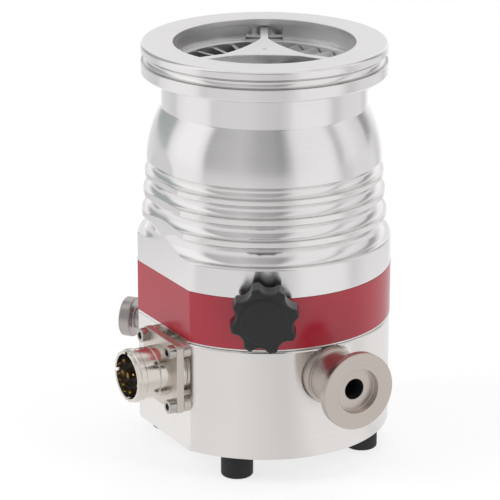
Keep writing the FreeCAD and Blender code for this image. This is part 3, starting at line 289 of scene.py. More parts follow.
# Each lamp's azimuth from the camera, its distance and height, its width and length, and its power
LAMPS = (("lamp_left", -75, 1.3, 0.9, 0.7, 1.0, 12), ("lamp_right", 62, 1.2, 0.8, 0.5, 0.9, 6),
         ("lamp_top", 150, 0.6, 1.5, 1.0, 1.0, 6))
LAMP_TARGET = Vector((0, 0, -80 * MM))
for name, azimuth, distance, height, width, length, power in LAMPS:
    lamp = bpy.data.lights.new(name, "AREA")
    lamp.shape = "RECTANGLE"
    lamp.size = width
    lamp.size_y = length
    lamp.energy = power
    hung = bpy.data.objects.new(name, lamp)
    hung.location = around(CAMERA_AZIMUTH + azimuth, distance, height).to_translation()
    hung.rotation_euler = (LAMP_TARGET - hung.location).to_track_quat("-Z", "Y").to_euler()
    hung.visible_glossy = False
    bpy.context.scene.collection.objects.link(hung)


# Pump housing: turned from one aluminium bar on a lathe, with the inlet flange, a neck, a dome and four
# coves that leave three thin ribs; one side is then milled flat. Three pockets in the inlet take the
# star's arms. Fine turning marks run round it.
SHARP_ANGLE = 38
SOFT_ANGLE = 16
CORNER_SHARE = 0.4
CORNER_STEPS = 3


def rounded(points, edge):
    """Round every sharp corner of a closed outline of radii and heights by a small edge radius."""
    soft = []
    for index, (radius, along) in enumerate(points):
        if callable(radius):
            soft.append((radius, along))
            continue
        before = points[index - 1]
        after = points[(index + 1) % len(points)]
        if callable(before[0]) or callable(after[0]):
            soft.append((radius, along))
            continue
        here = Vector((radius, along))
        into = here - Vector(before)
        out = Vector(after) - here
        if into.angle(out, 0) < radians(SOFT_ANGLE) or radius < 1e-6:
            soft.append((radius, along))
            continue
        reach = min(edge, into.length * CORNER_SHARE, out.length * CORNER_SHARE)
        start = here - into.normalized() * reach
        finish = here + out.normalized() * reach
        for step in range(CORNER_STEPS + 1):
            t = step / CORNER_STEPS
            soft.append(tuple(start * (1 - t) ** 2 + here * 2 * t * (1 - t) + finish * t ** 2))
    return soft


def bow(start, finish, radius, hollow, steps=12):
    """Points of an arc from start to finish, start left out. A hollow one sinks into the solid."""
    start = Vector(start)
    finish = Vector(finish)
    chord = finish - start
    half = chord.length / 2
    offset = sqrt(max(radius * radius - half * half, 0))
    normal = Vector((-chord.y, chord.x)).normalized()
    centre = (start + finish) / 2 + normal * (offset if hollow else -offset)
    from_angle = atan2(start.y - centre.y, start.x - centre.x)
    to_angle = atan2(finish.y - centre.y, finish.x - centre.x)
    sweep = (to_angle - from_angle + pi) % (2 * pi) - pi
    return [(centre.x + radius * cos(from_angle + sweep * k / steps),
             centre.y + radius * sin(from_angle + sweep * k / steps)) for k in range(1, steps + 1)]


def even_columns(count):
    """Angles evenly round a full turn."""
    return [2 * pi * k / count for k in range(count)]


def lathe(name, outline, columns, place=None, sharp=SHARP_ANGLE):
    """A mesh turned from a closed outline. A radius may be a function of the angle."""
    mesh = bpy.data.meshes.new(name)
    points = []
    for angle in columns:
        for radius, along in outline:
            here = radius(angle) if callable(radius) else radius
            points.append((here * cos(angle), here * sin(angle), along))
    size = len(outline)
    faces = []
    for column in range(len(columns)):
        this = column * size
        following = (column + 1) % len(columns) * size
        for index in range(size):
            after = (index + 1) % size
            faces.append((this + index, this + after, following + after, following + index))
    mesh.from_pydata(points, [], faces)
    return finish_mesh(name, mesh, place, sharp)


def finish_mesh(name, mesh, place=None, sharp=SHARP_ANGLE):
    """Weld, shade smooth with sharp corners kept, and link the mesh as an object."""
    work = bmesh.new()
    work.from_mesh(mesh)
    bmesh.ops.remove_doubles(work, verts=work.verts, dist=1e-7)
    bmesh.ops.dissolve_degenerate(work, edges=work.edges, dist=1e-7)
    if place is not None:
        work.transform(place)
    bmesh.ops.recalc_face_normals(work, faces=work.faces)
    work.to_mesh(mesh)
    work.free()
    mesh.shade_smooth()
    mesh.set_sharp_from_angle(angle=radians(sharp))
    thing = bpy.data.objects.new(name, mesh)
    bpy.context.scene.collection.objects.link(thing)
    evened = thing.modifiers.new("even_shading", "WEIGHTED_NORMAL")
    evened.keep_sharp = True
    return thing


def drill_out(thing, cutters):
    """Cut other objects away from this one, then drop them."""
    for cutter in cutters:
        modifier = thing.modifiers.new("hole", "BOOLEAN")
        modifier.operation = "DIFFERENCE"
        modifier.solver = "EXACT"
        modifier.object = cutter
        thing.modifiers.move(len(thing.modifiers) - 1, 0)
        with bpy.context.temp_override(object=thing, active_object=thing, selected_objects=[thing]):
            bpy.ops.object.modifier_apply(modifier="hole")
        bpy.data.objects.remove(cutter)
    thing.data.shade_smooth()
    thing.data.set_sharp_from_angle(angle=radians(SHARP_ANGLE))


def outward(azimuth, level, aside=0.0):
    """The frame of a piece that points straight out at an azimuth: its Z outward, its Y up."""
    angle = radians(azimuth)
    across = Vector((cos(angle), sin(angle), 0))
    out = Vector((sin(angle), -cos(angle), 0))
    turn = Matrix((across, (0, 0, 1), out)).transposed().to_4x4()
    return Matrix.Translation(across * aside + Vector((0, 0, level))) @ turn


def ring(inner, outer, bottom, top):
    """The outline of a plain ring, or of a disc where its inner radius is 0."""
    return [(inner, top), (outer, top), (outer, bottom), (inner, bottom)]


def rod(name, radius, bottom, top, place=None, sides=48):
    """A plain round bar, mostly used as a drill."""
    return lathe(name, ring(0, radius, bottom, top), even_columns(sides), place)


def box_work(low, high):
    """A box between two corners, still open to edit."""
    work = bmesh.new()
    bmesh.ops.create_cube(work, size=1)
    for vert in work.verts:
        for axis in range(3):
            vert.co[axis] = low[axis] + (vert.co[axis] + 0.5) * (high[axis] - low[axis])
    return work


def from_work(name, work, place=None):
    """Link an edited bmesh as an object."""
    mesh = bpy.data.meshes.new(name)
    work.to_mesh(mesh)
    work.free()
    return finish_mesh(name, mesh, place)


def surface(graph, **sockets):
    """Join a Principled shader to the material's output."""
    shader = graph.make("ShaderNodeBsdfPrincipled", **sockets)
    graph.make("ShaderNodeOutputMaterial", Surface=shader)


def scaled(colour, factor):
    """A colour made darker or lighter."""
    return tuple(min(1.0, channel * factor) for channel in colour)


def dress(thing, finish, slot, body, *nodes):
    """Give a piece its finish and its body, and hide the nodes that it stands for. Its slot is not used.
    """
    thing.data.materials.clear()
    thing.data.materials.append(finish)
    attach(thing, body)
    if nodes:
        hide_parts(*nodes)
    return thing


QUARTER_TURN = 0.25
TONE_RANGE = (0.9, 1.07)
FINE_SCALE = 3.4
FINE_GLOSS = 0.14
FINE_SHADE = 0.5
BROAD_SCALE = 0.6
BROAD_GLOSS = 0.27
CLOUD_SCALE = 45.0
CLOUD_GLOSS = 0.05
CLOUD_SHADE = 0.5
MARK_STRENGTH = 0.4
MARK_HEIGHT = 0.03 * MM
DULL_BORE = 0.22
PAINTED_SHADE_REACH = 0.4 * MM
PAINTED_SHADE_DARKNESS = 0.5


def turned_metal(name, colour, roughness, marks=1.0, place=None, streaked=0.0, broadness=0.3, bore=0.0,
                 painted_shade_depths=(), between=(0.0, 1.0)):
    """Lathe-turned metal: fine rings left by the tool, a few broader ones, and slight clouding.

    The rings streak reflections across them, by a share that suits a piece round the main axis. Inside
    the radius of a bore, where the tool chatters, the finish is duller. Painted shade darkens fine lines
    round it at the given depths between two radii, in the corners of a groove.
    """
    made, graph, spot = material(name)
    local = spot
    if place is not None:
        back = place.inverted()
        local = graph.make("ShaderNodeMapping", {"vector_type": "POINT"}, Vector=spot,
                           Location=back.to_translation(), Rotation=back.to_euler())
    radius = local.from_axis()
    path = (local.part(2) + radius) * (1 / MM)
    rings = {"noise_dimensions": "1D"}
    fine = graph.make("ShaderNodeTexNoise", rings, W=path, Scale=FINE_SCALE, Detail=2.0, Roughness=0.7)
    broad = graph.make("ShaderNodeTexNoise", rings, W=path, Scale=BROAD_SCALE, Detail=1.0)
    cloud = spot.noise(CLOUD_SCALE, 3.0)
    gloss = ((fine - 0.5) * (FINE_GLOSS * marks) + (broad - 0.5) * (BROAD_GLOSS * broadness)
             + (cloud - 0.5) * CLOUD_GLOSS + roughness)
    if bore:
        gloss = (radius < bore) * DULL_BORE + gloss
    shade = ((broad - 0.5) * broadness + (fine - 0.5) * (FINE_SHADE * marks)
             + (cloud - 0.5) * CLOUD_SHADE + 0.5)
    tone = shade.limited().mix(*(scaled(colour, factor) for factor in TONE_RANGE))
    # Painted shade: fine dark lines in the corners of the groove, where shade falls
    for depth in painted_shade_depths:
        closeness = (1 - (local.part(2) + depth).absolute() / PAINTED_SHADE_REACH).limited()
        inside = (radius > between[0]) * (radius < between[1])
        tone = (closeness * inside * PAINTED_SHADE_DARKNESS).mix(tone, (0, 0, 0))
    bump = graph.make("ShaderNodeBump", Strength=MARK_STRENGTH * marks, Distance=MARK_HEIGHT,
                      Height=fine)
    surface(graph, Base_Color=tone, Metallic=1.0, Roughness=gloss, Normal=bump, Anisotropic=streaked,
            Anisotropic_Rotation=QUARTER_TURN)
    return made


FLANGE_RADIUS = 47.5 * MM
FLANGE_EDGE = 0.8 * MM
FLANGE_THICKNESS = 12 * MM
GROOVE_TOP = 3.3 * MM
GROOVE_WIDTH = 3.7 * MM
GROOVE_WALL = 1 * MM
GROOVE_BEND = 1.9 * MM
INLET_RADIUS = 35 * MM
INLET_LIP = 2.5 * MM
INLET_STEP = 1 * MM
STACK_TOP = 8.5 * MM
BORE_RADIUS = 36.5 * MM
NECK_RADIUS = 39.8 * MM
NECK_DEPTH = 24.3 * MM
NECK_FILLET = 1.2 * MM
DOME_RADIUS = 45.65 * MM
DOME_DEPTH = 45.1 * MM
DOME_BEND = 46.6 * MM
BODY_RADIUS = 49.4 * MM
BODY_EDGE = 0.5 * MM
FLAT = 44.7 * MM
JOINT_DEPTH = -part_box("pump_housing")[0].z
JOINT_GAP = 0.06 * MM
COVE_WIDTHS = (4.8 * MM, 5.3 * MM, 6.2 * MM, 7.6 * MM)
RIB_RADII = (46.3 * MM, 46.9 * MM, 47.6 * MM)
RIB_WIDTHS = (1.9 * MM, 2.3 * MM, 2.2 * MM)
COVE_WALL = 0.8 * MM
COVE_RISE = 2.1 * MM
BAND_TOP = 87.1 * MM
BAND_BOTTOM = 107.4 * MM
BAND_SUNK = 0.45 * MM
EDGE = 0.3 * MM
CORNER_ANGLE = 0.004
HOUSING_COLOUR = (0.905, 0.888, 0.886)
BASE_COLOUR = (0.905, 0.873, 0.855)


def milled(radius, flat=FLAT):
    """A radius that the flat on the -X side cuts short."""
    return lambda angle: min(radius, flat / -cos(angle)) if cos(angle) < 0 else radius


def mill(points, below, flat=FLAT):
    """Cut an outline short at the flat, wherever it lies below a height."""
    return [(milled(radius, flat) if along < below and radius > flat else radius, along)
            for radius, along in points]


def milled_columns(radii, count=300):
    """Columns all round, with three more where the flat meets each of these radii."""
    columns = set(even_columns(count))
    for radius in radii:
        corner = pi - acos(FLAT / radius)
        for step in (-CORNER_ANGLE, 0.0, CORNER_ANGLE):
            columns.add(corner + step)
            columns.add(2 * pi - corner - step)
    return sorted(columns)


groove_floor = FLANGE_RADIUS - GROOVE_WALL
groove_bottom = GROOVE_TOP + GROOVE_WIDTH
outline = [(INLET_RADIUS, 0), (FLANGE_RADIUS - FLANGE_EDGE, 0), (FLANGE_RADIUS, -FLANGE_EDGE),
           (FLANGE_RADIUS, -GROOVE_TOP), (groove_floor, -GROOVE_TOP)]
outline += bow(outline[-1], (groove_floor, -groove_bottom), GROOVE_BEND, hollow=True)
outline += [(FLANGE_RADIUS, -groove_bottom), (FLANGE_RADIUS, FLANGE_EDGE - FLANGE_THICKNESS),
            (FLANGE_RADIUS - FLANGE_EDGE, -FLANGE_THICKNESS),
            (NECK_RADIUS + NECK_FILLET, -FLANGE_THICKNESS)]
outline += bow(outline[-1], (NECK_RADIUS, -FLANGE_THICKNESS - NECK_FILLET), NECK_FILLET,
               hollow=True, steps=5)
outline += [(NECK_RADIUS, -NECK_DEPTH)]
outline += bow(outline[-1], (DOME_RADIUS, -DOME_DEPTH), DOME_BEND, hollow=False, steps=24)
level = DOME_DEPTH
radius_above = DOME_RADIUS
for index, cove_width in enumerate(COVE_WIDTHS):
    floor_edge = radius_above - COVE_WALL
    bend = (cove_width * cove_width / 4 + COVE_RISE * COVE_RISE) / (2 * COVE_RISE)
    outline.append((floor_edge, -level))
    level += cove_width
    outline += bow(outline[-1], (floor_edge, -level), bend, hollow=True, steps=14)
    if index < len(RIB_RADII):
        radius_above = RIB_RADII[index]
        outline.append((radius_above, -level))
        level += RIB_WIDTHS[index]
        outline.append((radius_above, -level))
outline += [(BODY_RADIUS - BODY_EDGE, -level), (BODY_RADIUS, -level - BODY_EDGE),
            (BODY_RADIUS, -BAND_TOP), (BODY_RADIUS - BAND_SUNK, -BAND_TOP),
            (BODY_RADIUS - BAND_SUNK, -BAND_BOTTOM), (BODY_RADIUS, -BAND_BOTTOM),
            (BODY_RADIUS, BODY_EDGE - JOINT_DEPTH), (BODY_RADIUS - BODY_EDGE, JOINT_GAP - JOINT_DEPTH),
            (BORE_RADIUS, JOINT_GAP - JOINT_DEPTH), (BORE_RADIUS, -STACK_TOP),
            (INLET_RADIUS + INLET_STEP, -STACK_TOP), (INLET_RADIUS + INLET_STEP, -INLET_LIP),
            (INLET_RADIUS, -INLET_LIP)]
flat_columns = milled_columns((*RIB_RADII, BODY_RADIUS - BODY_EDGE, BODY_RADIUS))
housing = lathe("housing_shell", mill(rounded(outline, EDGE), -NECK_DEPTH), flat_columns)

STAR_AZIMUTHS = (30, 150, 270)
POCKET_WIDTH = 14.4 * MM
POCKET_REACH = 37.9 * MM
POCKET_TOP = 3.2 * MM
POCKET_START = INLET_RADIUS * 0.8
OVERCUT = 1 * MM
VENT_AZIMUTH = -30
VENT_LEVEL = -91.6 * MM
VENT_POCKET = 7.3 * MM
VENT_SEAT = 47.2 * MM
BEYOND = 60 * MM
vent_place = outward(VENT_AZIMUTH, VENT_LEVEL)
pockets = []
for azimuth in STAR_AZIMUTHS:
    cutter = box_work((-POCKET_WIDTH / 2, -STACK_TOP - OVERCUT, POCKET_START),
                      (POCKET_WIDTH / 2, -POCKET_TOP, POCKET_REACH))
    pockets.append(from_work("pocket", cutter, outward(azimuth, 0)))
pockets.append(rod("vent_seat", VENT_POCKET, VENT_SEAT, BEYOND, vent_place))
drill_out(housing, pockets)
dull_inside = INLET_RADIUS + INLET_STEP * 1.5
housing_metal = turned_metal("turned_housing", HOUSING_COLOUR, 0.16, streaked=0.88, broadness=0.12,
                             bore=dull_inside)
dress(housing, housing_metal, "housing_aluminium", "housing", "pump_housing")
# The flange is turned finer than the rest, so that its groove keeps crisp lines; painted shade darkens
# thin lines in the groove's corners
flange_metal = turned_metal("fine_turned_flange_painted_groove_shade", HOUSING_COLOUR, 0.13, streaked=0.3, broadness=0.12,
                            bore=dull_inside, painted_shade_depths=(GROOVE_TOP + PAINTED_SHADE_REACH, groove_bottom),
                            between=(NECK_RADIUS, FLANGE_RADIUS - FLANGE_EDGE / 2))
housing.data.materials.append(flange_metal)
for face in housing.data.polygons:
    if face.center.z > -FLANGE_THICKNESS - EDGE:
        face.material_index = 1


# Colour band: a thin red anodised sleeve that follows the cylinder and its flat. It is smooth and a
# little glossy, and has a hole for the vent valve. It is left without lettering.
BAND_PROUD = 0.12 * MM
BAND_GAP = 0.05 * MM
BAND_EDGE = 0.06 * MM
BAND_RED = (0.34, 0.013, 0.028)
BAND_RANGE = (0.93, 1.07)
BAND_HAZE = 60.0
BAND_CLOUDING = 0.08
BAND_ROUGHNESS = 0.2
BAND_GRAIN = 2600.0
BAND_GRAIN_STRENGTH = 0.12
BAND_GRAIN_HEIGHT = 0.02 * MM
band_points = rounded(ring(BODY_RADIUS - BAND_SUNK + BAND_GAP, BODY_RADIUS + BAND_PROUD,
                           BAND_GAP - BAND_BOTTOM, -BAND_TOP - BAND_GAP), BAND_EDGE)
band_points = [(milled(radius, FLAT + radius - BODY_RADIUS), along) for radius, along in band_points]
band = lathe("red_band", band_points, flat_columns)
drill_out(band, [rod("band_hole", VENT_POCKET, BODY_RADIUS * 0.8, BEYOND, vent_place)])
band_finish, graph, spot = material("red_anodised")
haze = spot.noise(BAND_HAZE, 4.0)
tone = haze.mix(*(scaled(BAND_RED, factor) for factor in BAND_RANGE))
grain = graph.make("ShaderNodeBump", Strength=BAND_GRAIN_STRENGTH, Distance=BAND_GRAIN_HEIGHT,
                   Height=spot.noise(BAND_GRAIN, 1.0))
surface(graph, Base_Color=tone, Roughness=(haze - 0.5) * BAND_CLOUDING + BAND_ROUGHNESS, IOR=1.6,
        Normal=grain)
dress(band, band_finish, "red_band", "housing", "colour_band")


# Base body: the lower half of the cylinder, turned and milled like the housing, which stands on it with
# a fine dark joint. Four deep holes in its underside hold the long screws.
BASE_BOTTOM = -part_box("base_body")[0].z
SPIGOT_RADIUS = 36.3 * MM
SPIGOT_TOP = 104 * MM
SHAFT_ROOM = 14 * MM
COVER_RADIUS = 19.9 * MM
COVER_THICKNESS = 3 * MM
COVER_GAP = 0.1 * MM
SCREW_CIRCLE = 40 * MM
SCREW_AZIMUTH = 73
SCREW_WELL = 3.6 * MM
SCREW_SEAT = 121 * MM
PORT_LEVEL = -119.5 * MM
PORT_SEAT = 48 * MM
PORT_SPOTFACE = 11.6 * MM
PLUG_AZIMUTH = -141
PLUG_SEAT = 48.8 * MM
PLUG_SPOTFACE = 6.8 * MM
port_place = outward(0, PORT_LEVEL)
plug_place = outward(PLUG_AZIMUTH, PORT_LEVEL)
cover_top = COVER_THICKNESS - BASE_BOTTOM
base_outline = [(SHAFT_ROOM, -SPIGOT_TOP), (SPIGOT_RADIUS, -SPIGOT_TOP),
                (SPIGOT_RADIUS, -JOINT_DEPTH - JOINT_GAP),
                (BODY_RADIUS - BODY_EDGE, -JOINT_DEPTH - JOINT_GAP),
                (BODY_RADIUS, -JOINT_DEPTH - BODY_EDGE), (BODY_RADIUS, BODY_EDGE - BASE_BOTTOM),
                (BODY_RADIUS - BODY_EDGE, -BASE_BOTTOM), (COVER_RADIUS + COVER_GAP, -BASE_BOTTOM),
                (COVER_RADIUS + COVER_GAP, cover_top), (SHAFT_ROOM, cover_top)]
base = lathe("base_shell", mill(rounded(base_outline, EDGE), -SPIGOT_TOP), flat_columns)
screw_azimuths = [SCREW_AZIMUTH + 90 * k for k in range(4)]
wells = [rod("well", SCREW_WELL, -BASE_BOTTOM - OVERCUT, -SCREW_SEAT, around(azimuth, SCREW_CIRCLE))
         for azimuth in screw_azimuths]
wells.append(rod("port_spotface", PORT_SPOTFACE, PORT_SEAT, BEYOND, port_place, 96))
wells.append(rod("plug_spotface", PLUG_SPOTFACE, PLUG_SEAT, BEYOND, plug_place, 64))
drill_out(base, wells)
base_metal = turned_metal("turned_base", BASE_COLOUR, 0.2, 1.2, streaked=0.85, broadness=0.15)
dress(base, base_metal, "base_aluminium", "housing", "base_body")


# Base cover: a round cap let into the underside, with two holes for a pin spanner.
SPANNER_HOLE = 1.5 * MM
SPANNER_CIRCLE = 13 * MM
cover = lathe("round_cover", rounded(ring(0, COVER_RADIUS, -BASE_BOTTOM, cover_top), EDGE),
              even_columns(96))
spanner_holes = [rod("spanner_hole", SPANNER_HOLE, -BASE_BOTTOM - OVERCUT,
                     SPANNER_HOLE - BASE_BOTTOM, Matrix.Translation((SPANNER_CIRCLE * way, 0, 0)))
                 for way in (-1, 1)]
drill_out(cover, spanner_holes)
dress(cover, base_metal, "base_aluminium", "housing", "base_cover")


# Rubber feet: four black moulded buttons with a rounded lower edge, each pushed into the base by its
# stem.
FOOT_CIRCLE = 40 * MM
FOOT_RADIUS = 6.25 * MM
FOOT_HEIGHT = 10 * MM
FOOT_EDGE = 0.9 * MM
STEM_RADIUS = 2.5 * MM
STEM_LENGTH = 5 * MM
SKIN_RANGE = (0.75, 1.3)
SKIN_HEIGHT = 0.05 * MM
RUB_SCALE = 140.0
RUB_GLOSS = 0.16


def moulded(name, colour, roughness, grain, grain_size):
    """Moulded rubber or plastic: a fine dull grain, with faint rubbed patches."""
    made, graph, spot = material(name)
    rubbed = spot.noise(RUB_SCALE, 4.0)
    tone = rubbed.mix(*(scaled(colour, factor) for factor in SKIN_RANGE))
    skin = spot.noise(1 / grain_size, 2.0)
    bump = graph.make("ShaderNodeBump", Strength=grain, Distance=SKIN_HEIGHT, Height=skin)
    surface(graph, Base_Color=tone, Roughness=(rubbed - 0.5) * RUB_GLOSS + roughness,
            Normal=bump)
    return made


foot_outline = [(0, STEM_LENGTH), (STEM_RADIUS, STEM_LENGTH), (STEM_RADIUS, 0), (FOOT_RADIUS, 0),
                (FOOT_RADIUS, FOOT_EDGE - FOOT_HEIGHT)]
foot_outline += bow(foot_outline[-1], (FOOT_RADIUS - FOOT_EDGE, -FOOT_HEIGHT), FOOT_EDGE,
                    hollow=False, steps=6)
foot_outline += [(0, -FOOT_HEIGHT)]
rubber = moulded("foot_rubber_black", (0.009, 0.0095, 0.0115), 0.62, 0.3, 0.25 * MM)
for k in range(4):
    foot = lathe(f"foot_{k + 1}", rounded(foot_outline, 0.2 * MM), even_columns(72),
                 around(45 + 90 * k, FOOT_CIRCLE, -BASE_BOTTOM))
    dress(foot, rubber, "foot_rubber", "housing", f"rubber_foot_{k + 1}")


# Bearing star: milled from aluminium plate, a hub with three hollow sides that run out into thin arms.
# It has a small centre mark on top and carries the upper bearing on a pin underneath.
STAR_TOP = 3.4 * MM
STAR_THICKNESS = 5 * MM
STAR_REACH = 37.7 * MM
STAR_ARM = 3.3 * MM
STAR_ROOT = 17 * MM
STAR_WAIST = 8.6 * MM
PIN_RADIUS = 3.5 * MM
PIN_LENGTH = 16.4 * MM
STAR_STEPS = 16
STAR_SPACING = 120
STAR_EDGE = 0.3 * MM
MARK_RADIUS = 1.1 * MM
MARK_CONE = 0.9 * MM
STAR_TONES = ((0.8, 0.795, 0.79), (0.9, 0.895, 0.89))
STAR_CLOUD = 120.0
STAR_SWEEP = 600.0
STAR_MARKS = 0.25
STAR_GLOSS = 0.12
STAR_ROUGHNESS = 0.22
HAIR = 0.001 * MM


def star_point(azimuth, out, aside):
    """A plan point so far out along an arm and so far to its side."""
    angle = radians(azimuth)
    return Vector((out * sin(angle) + aside * cos(angle), aside * sin(angle) - out * cos(angle)))


def level_edges(work):
    """The edges that lie flat, at right angles to Z."""
    return [edge for edge in work.edges if abs(edge.verts[0].co.z - edge.verts[1].co.z) < HAIR]


def soften(work, edges, offset, segments):
    """Round edges by a small radius."""
    bmesh.ops.bevel(work, geom=edges, offset=offset, segments=segments, affect="EDGES", profile=0.5)


star_plan = []
for azimuth in STAR_AZIMUTHS:
    star_plan += [star_point(azimuth, STAR_REACH, -STAR_ARM / 2),
                  star_point(azimuth, STAR_REACH, STAR_ARM / 2)]
    first = star_point(azimuth, STAR_ROOT, STAR_ARM / 2)
    last = star_point(azimuth + STAR_SPACING, STAR_ROOT, -STAR_ARM / 2)
    waist = star_point(azimuth + STAR_SPACING / 2, STAR_WAIST, 0)
    star_plan.append(first)
    for step in range(1, STAR_STEPS):
        t = step / STAR_STEPS
        star_plan.append(first.lerp(last, t) + (waist - (first + last) / 2) * 4 * t * (1 - t))
    star_plan.append(last)
work = bmesh.new()
face = work.faces.new([work.verts.new((x, y, -STAR_TOP)) for x, y in star_plan])
raised = bmesh.ops.extrude_face_region(work, geom=[face])
for item in raised["geom"]:
    if isinstance(item, bmesh.types.BMVert):
        item.co.z -= STAR_THICKNESS
bmesh.ops.recalc_face_normals(work, faces=work.faces)
soften(work, level_edges(work), STAR_EDGE, 2)
star = from_work("milled_star", work)
mark_outline = [(0, 0), (MARK_RADIUS, 0), (MARK_CONE, -STAR_TOP), (0, -STAR_TOP - MARK_CONE)]
drill_out(star, [lathe("centre_mark", mark_outline, even_columns(32))])
star_bottom = -STAR_TOP - STAR_THICKNESS
star_pin = rod("star_pin", PIN_RADIUS, star_bottom - PIN_LENGTH, star_bottom)
star_finish, graph, spot = material("milled_star_metal")
sweep = spot.noise(STAR_SWEEP, 3.0)
surface(graph, Base_Color=spot.noise(STAR_CLOUD, 3.0).mix(*STAR_TONES), Metallic=1.0,
        Roughness=(sweep - 0.5) * STAR_GLOSS + STAR_ROUGHNESS,
        Normal=graph.make("ShaderNodeBump", Strength=STAR_MARKS, Distance=MARK_HEIGHT, Height=sweep))
dress(star, star_finish, "star_aluminium", "housing", "bearing_star")
dress(star_pin, star_finish, "star_aluminium", "housing")


# Top spacer ring: the bright turned ring under the star, which also clamps the star's arms.
SPACER_INNER = 33 * MM
SPACER_OUTER = 36.4 * MM
spacer_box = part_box("spacer_ring_1")
spacer_outline = ring(SPACER_INNER, SPACER_OUTER, spacer_box[0].z, spacer_box[1].z)
spacer = lathe("top_spacer", rounded(spacer_outline, EDGE), even_columns(192))
spacer_metal = turned_metal("turned_spacer", (0.9, 0.9, 0.9), 0.34, 0.8, streaked=0.5)
dress(spacer, spacer_metal, "spacer_aluminium", "housing", "spacer_ring_1")


# Foreline port: a small stainless clamp flange with a stepped recess, on a short tube that screws into
# the base over a collar and a sealing washer. Its bore walls and a disc at the bore's end are painted
# near black as painted shade.
PORT_REACH = 70.5 * MM
PORT_RADIUS = 15 * MM
PORT_RIM = 3 * MM
PORT_TAPER = 1.34 * MM
PORT_TUBE = 10 * MM
PORT_COLLAR = 11 * MM
PORT_COLLAR_TOP = 52 * MM
PORT_WASHER_TOP = 49 * MM
PORT_SPIGOT = 6.5 * MM
PORT_SPIGOT_END = 35 * MM
PORT_BORE = 4 * MM
PORT_RECESS_RADIUS = 8.6 * MM
PORT_RECESS = 3 * MM
PORT_FILLET = 1.4 * MM
PORT_EDGE = 0.35 * MM
BORE_SHADE_SCALE = 300.0
BORE_SHADE_TONES = ((0.008, 0.008, 0.009), (0.016, 0.016, 0.017))
tube_end = PORT_REACH - PORT_RIM - PORT_TAPER
fillet_rise = PORT_TAPER * PORT_FILLET / (PORT_RADIUS - PORT_TUBE)
port_outline = [(PORT_BORE, PORT_SPIGOT_END), (PORT_BORE, PORT_REACH - PORT_RECESS),
                (PORT_RECESS_RADIUS, PORT_REACH - PORT_RECESS), (PORT_RECESS_RADIUS, PORT_REACH),
                (PORT_RADIUS, PORT_REACH), (PORT_RADIUS, PORT_REACH - PORT_RIM),
                (PORT_TUBE + PORT_FILLET, tube_end + fillet_rise)]
port_outline += bow(port_outline[-1], (PORT_TUBE, tube_end - PORT_FILLET), PORT_FILLET * 1.6,
                    hollow=True, steps=6)
port_outline += [(PORT_TUBE, PORT_COLLAR_TOP), (PORT_COLLAR, PORT_COLLAR_TOP),
                 (PORT_COLLAR, PORT_WASHER_TOP), (PORT_SPIGOT, PORT_WASHER_TOP),
                 (PORT_SPIGOT, PORT_SPIGOT_END)]
port = lathe("clamp_flange_port", rounded(port_outline, PORT_EDGE), even_columns(144), port_place)
port_metal = turned_metal("turned_stainless", (0.64, 0.575, 0.53), 0.3, 1.3, port_place)
dress(port, port_metal, "foreline_steel", "housing", "foreline_port")
# Painted shade: the bore's walls are painted near black, with a faint mottle, for the shade deep inside
painted_bore_shade, graph, spot = material("bore_painted_shade")
bore_shade_mottle = spot.noise(BORE_SHADE_SCALE, 2.0)
surface(graph, Base_Color=bore_shade_mottle.mix(*BORE_SHADE_TONES), Roughness=0.8)
port.data.materials.append(painted_bore_shade)
into_port = port_place.inverted()
for face in port.data.polygons:
    local = into_port @ face.center
    if sqrt(local.x ** 2 + local.y ** 2) < PORT_BORE * 1.01:
        face.material_index = 1
# A dark disc closes the bore: painted shade where the inside of the pump would be
painted_shade_disc = rod("painted_shade_disc", PORT_BORE * 0.999, PORT_SPIGOT_END, PORT_SPIGOT_END + 1 * MM, port_place)
dress(painted_shade_disc, painted_bore_shade, "seal_rubber", "housing")


# Vent knob: moulded in black plastic with eight lobes for the fingers, and a disc set in its face. It
# turns on a threaded spindle.
KNOB_LOBES = 8
KNOB_RADIUS = 13 * MM
KNOB_VALLEY = 10.8 * MM
SCALLOP_RADIUS = 4.4 * MM
SCALLOP_FIRST = 82.5
KNOB_BACK = 52.5 * MM
KNOB_FRONT = 62.5 * MM
KNOB_ROUND = 1.3 * MM
KNOB_BACK_STEPS = 6
KNOB_FRONT_STEPS = 8
CAP_RADIUS = 9.3 * MM
CAP_SUNK = 1.4 * MM
CAP_PROUD = 0.5 * MM
CAP_BEND = 2.2 * MM
CAP_SHOULDER = 1.2 * MM
CAP_GAP = 0.03 * MM
LOBE_SOFTNESS = 0.35 * MM


def lobed(inset):
    """The knob's radius at an angle: the rim, with a round hollow between each two lobes."""
    def at(angle):
        step = 2 * pi / KNOB_LOBES
        away = (angle - radians(SCALLOP_FIRST) + step / 2) % step - step / 2
        centre = KNOB_VALLEY + SCALLOP_RADIUS
        beside = centre * sin(away)
        hollow = KNOB_RADIUS * 2
        if abs(beside) < SCALLOP_RADIUS:
            hollow = centre * cos(away) - sqrt(SCALLOP_RADIUS ** 2 - beside ** 2)
        blend_part = exp(-hollow / LOBE_SOFTNESS + KNOB_RADIUS / LOBE_SOFTNESS) + 1
        return KNOB_RADIUS - LOBE_SOFTNESS * log(blend_part) - inset
    return at


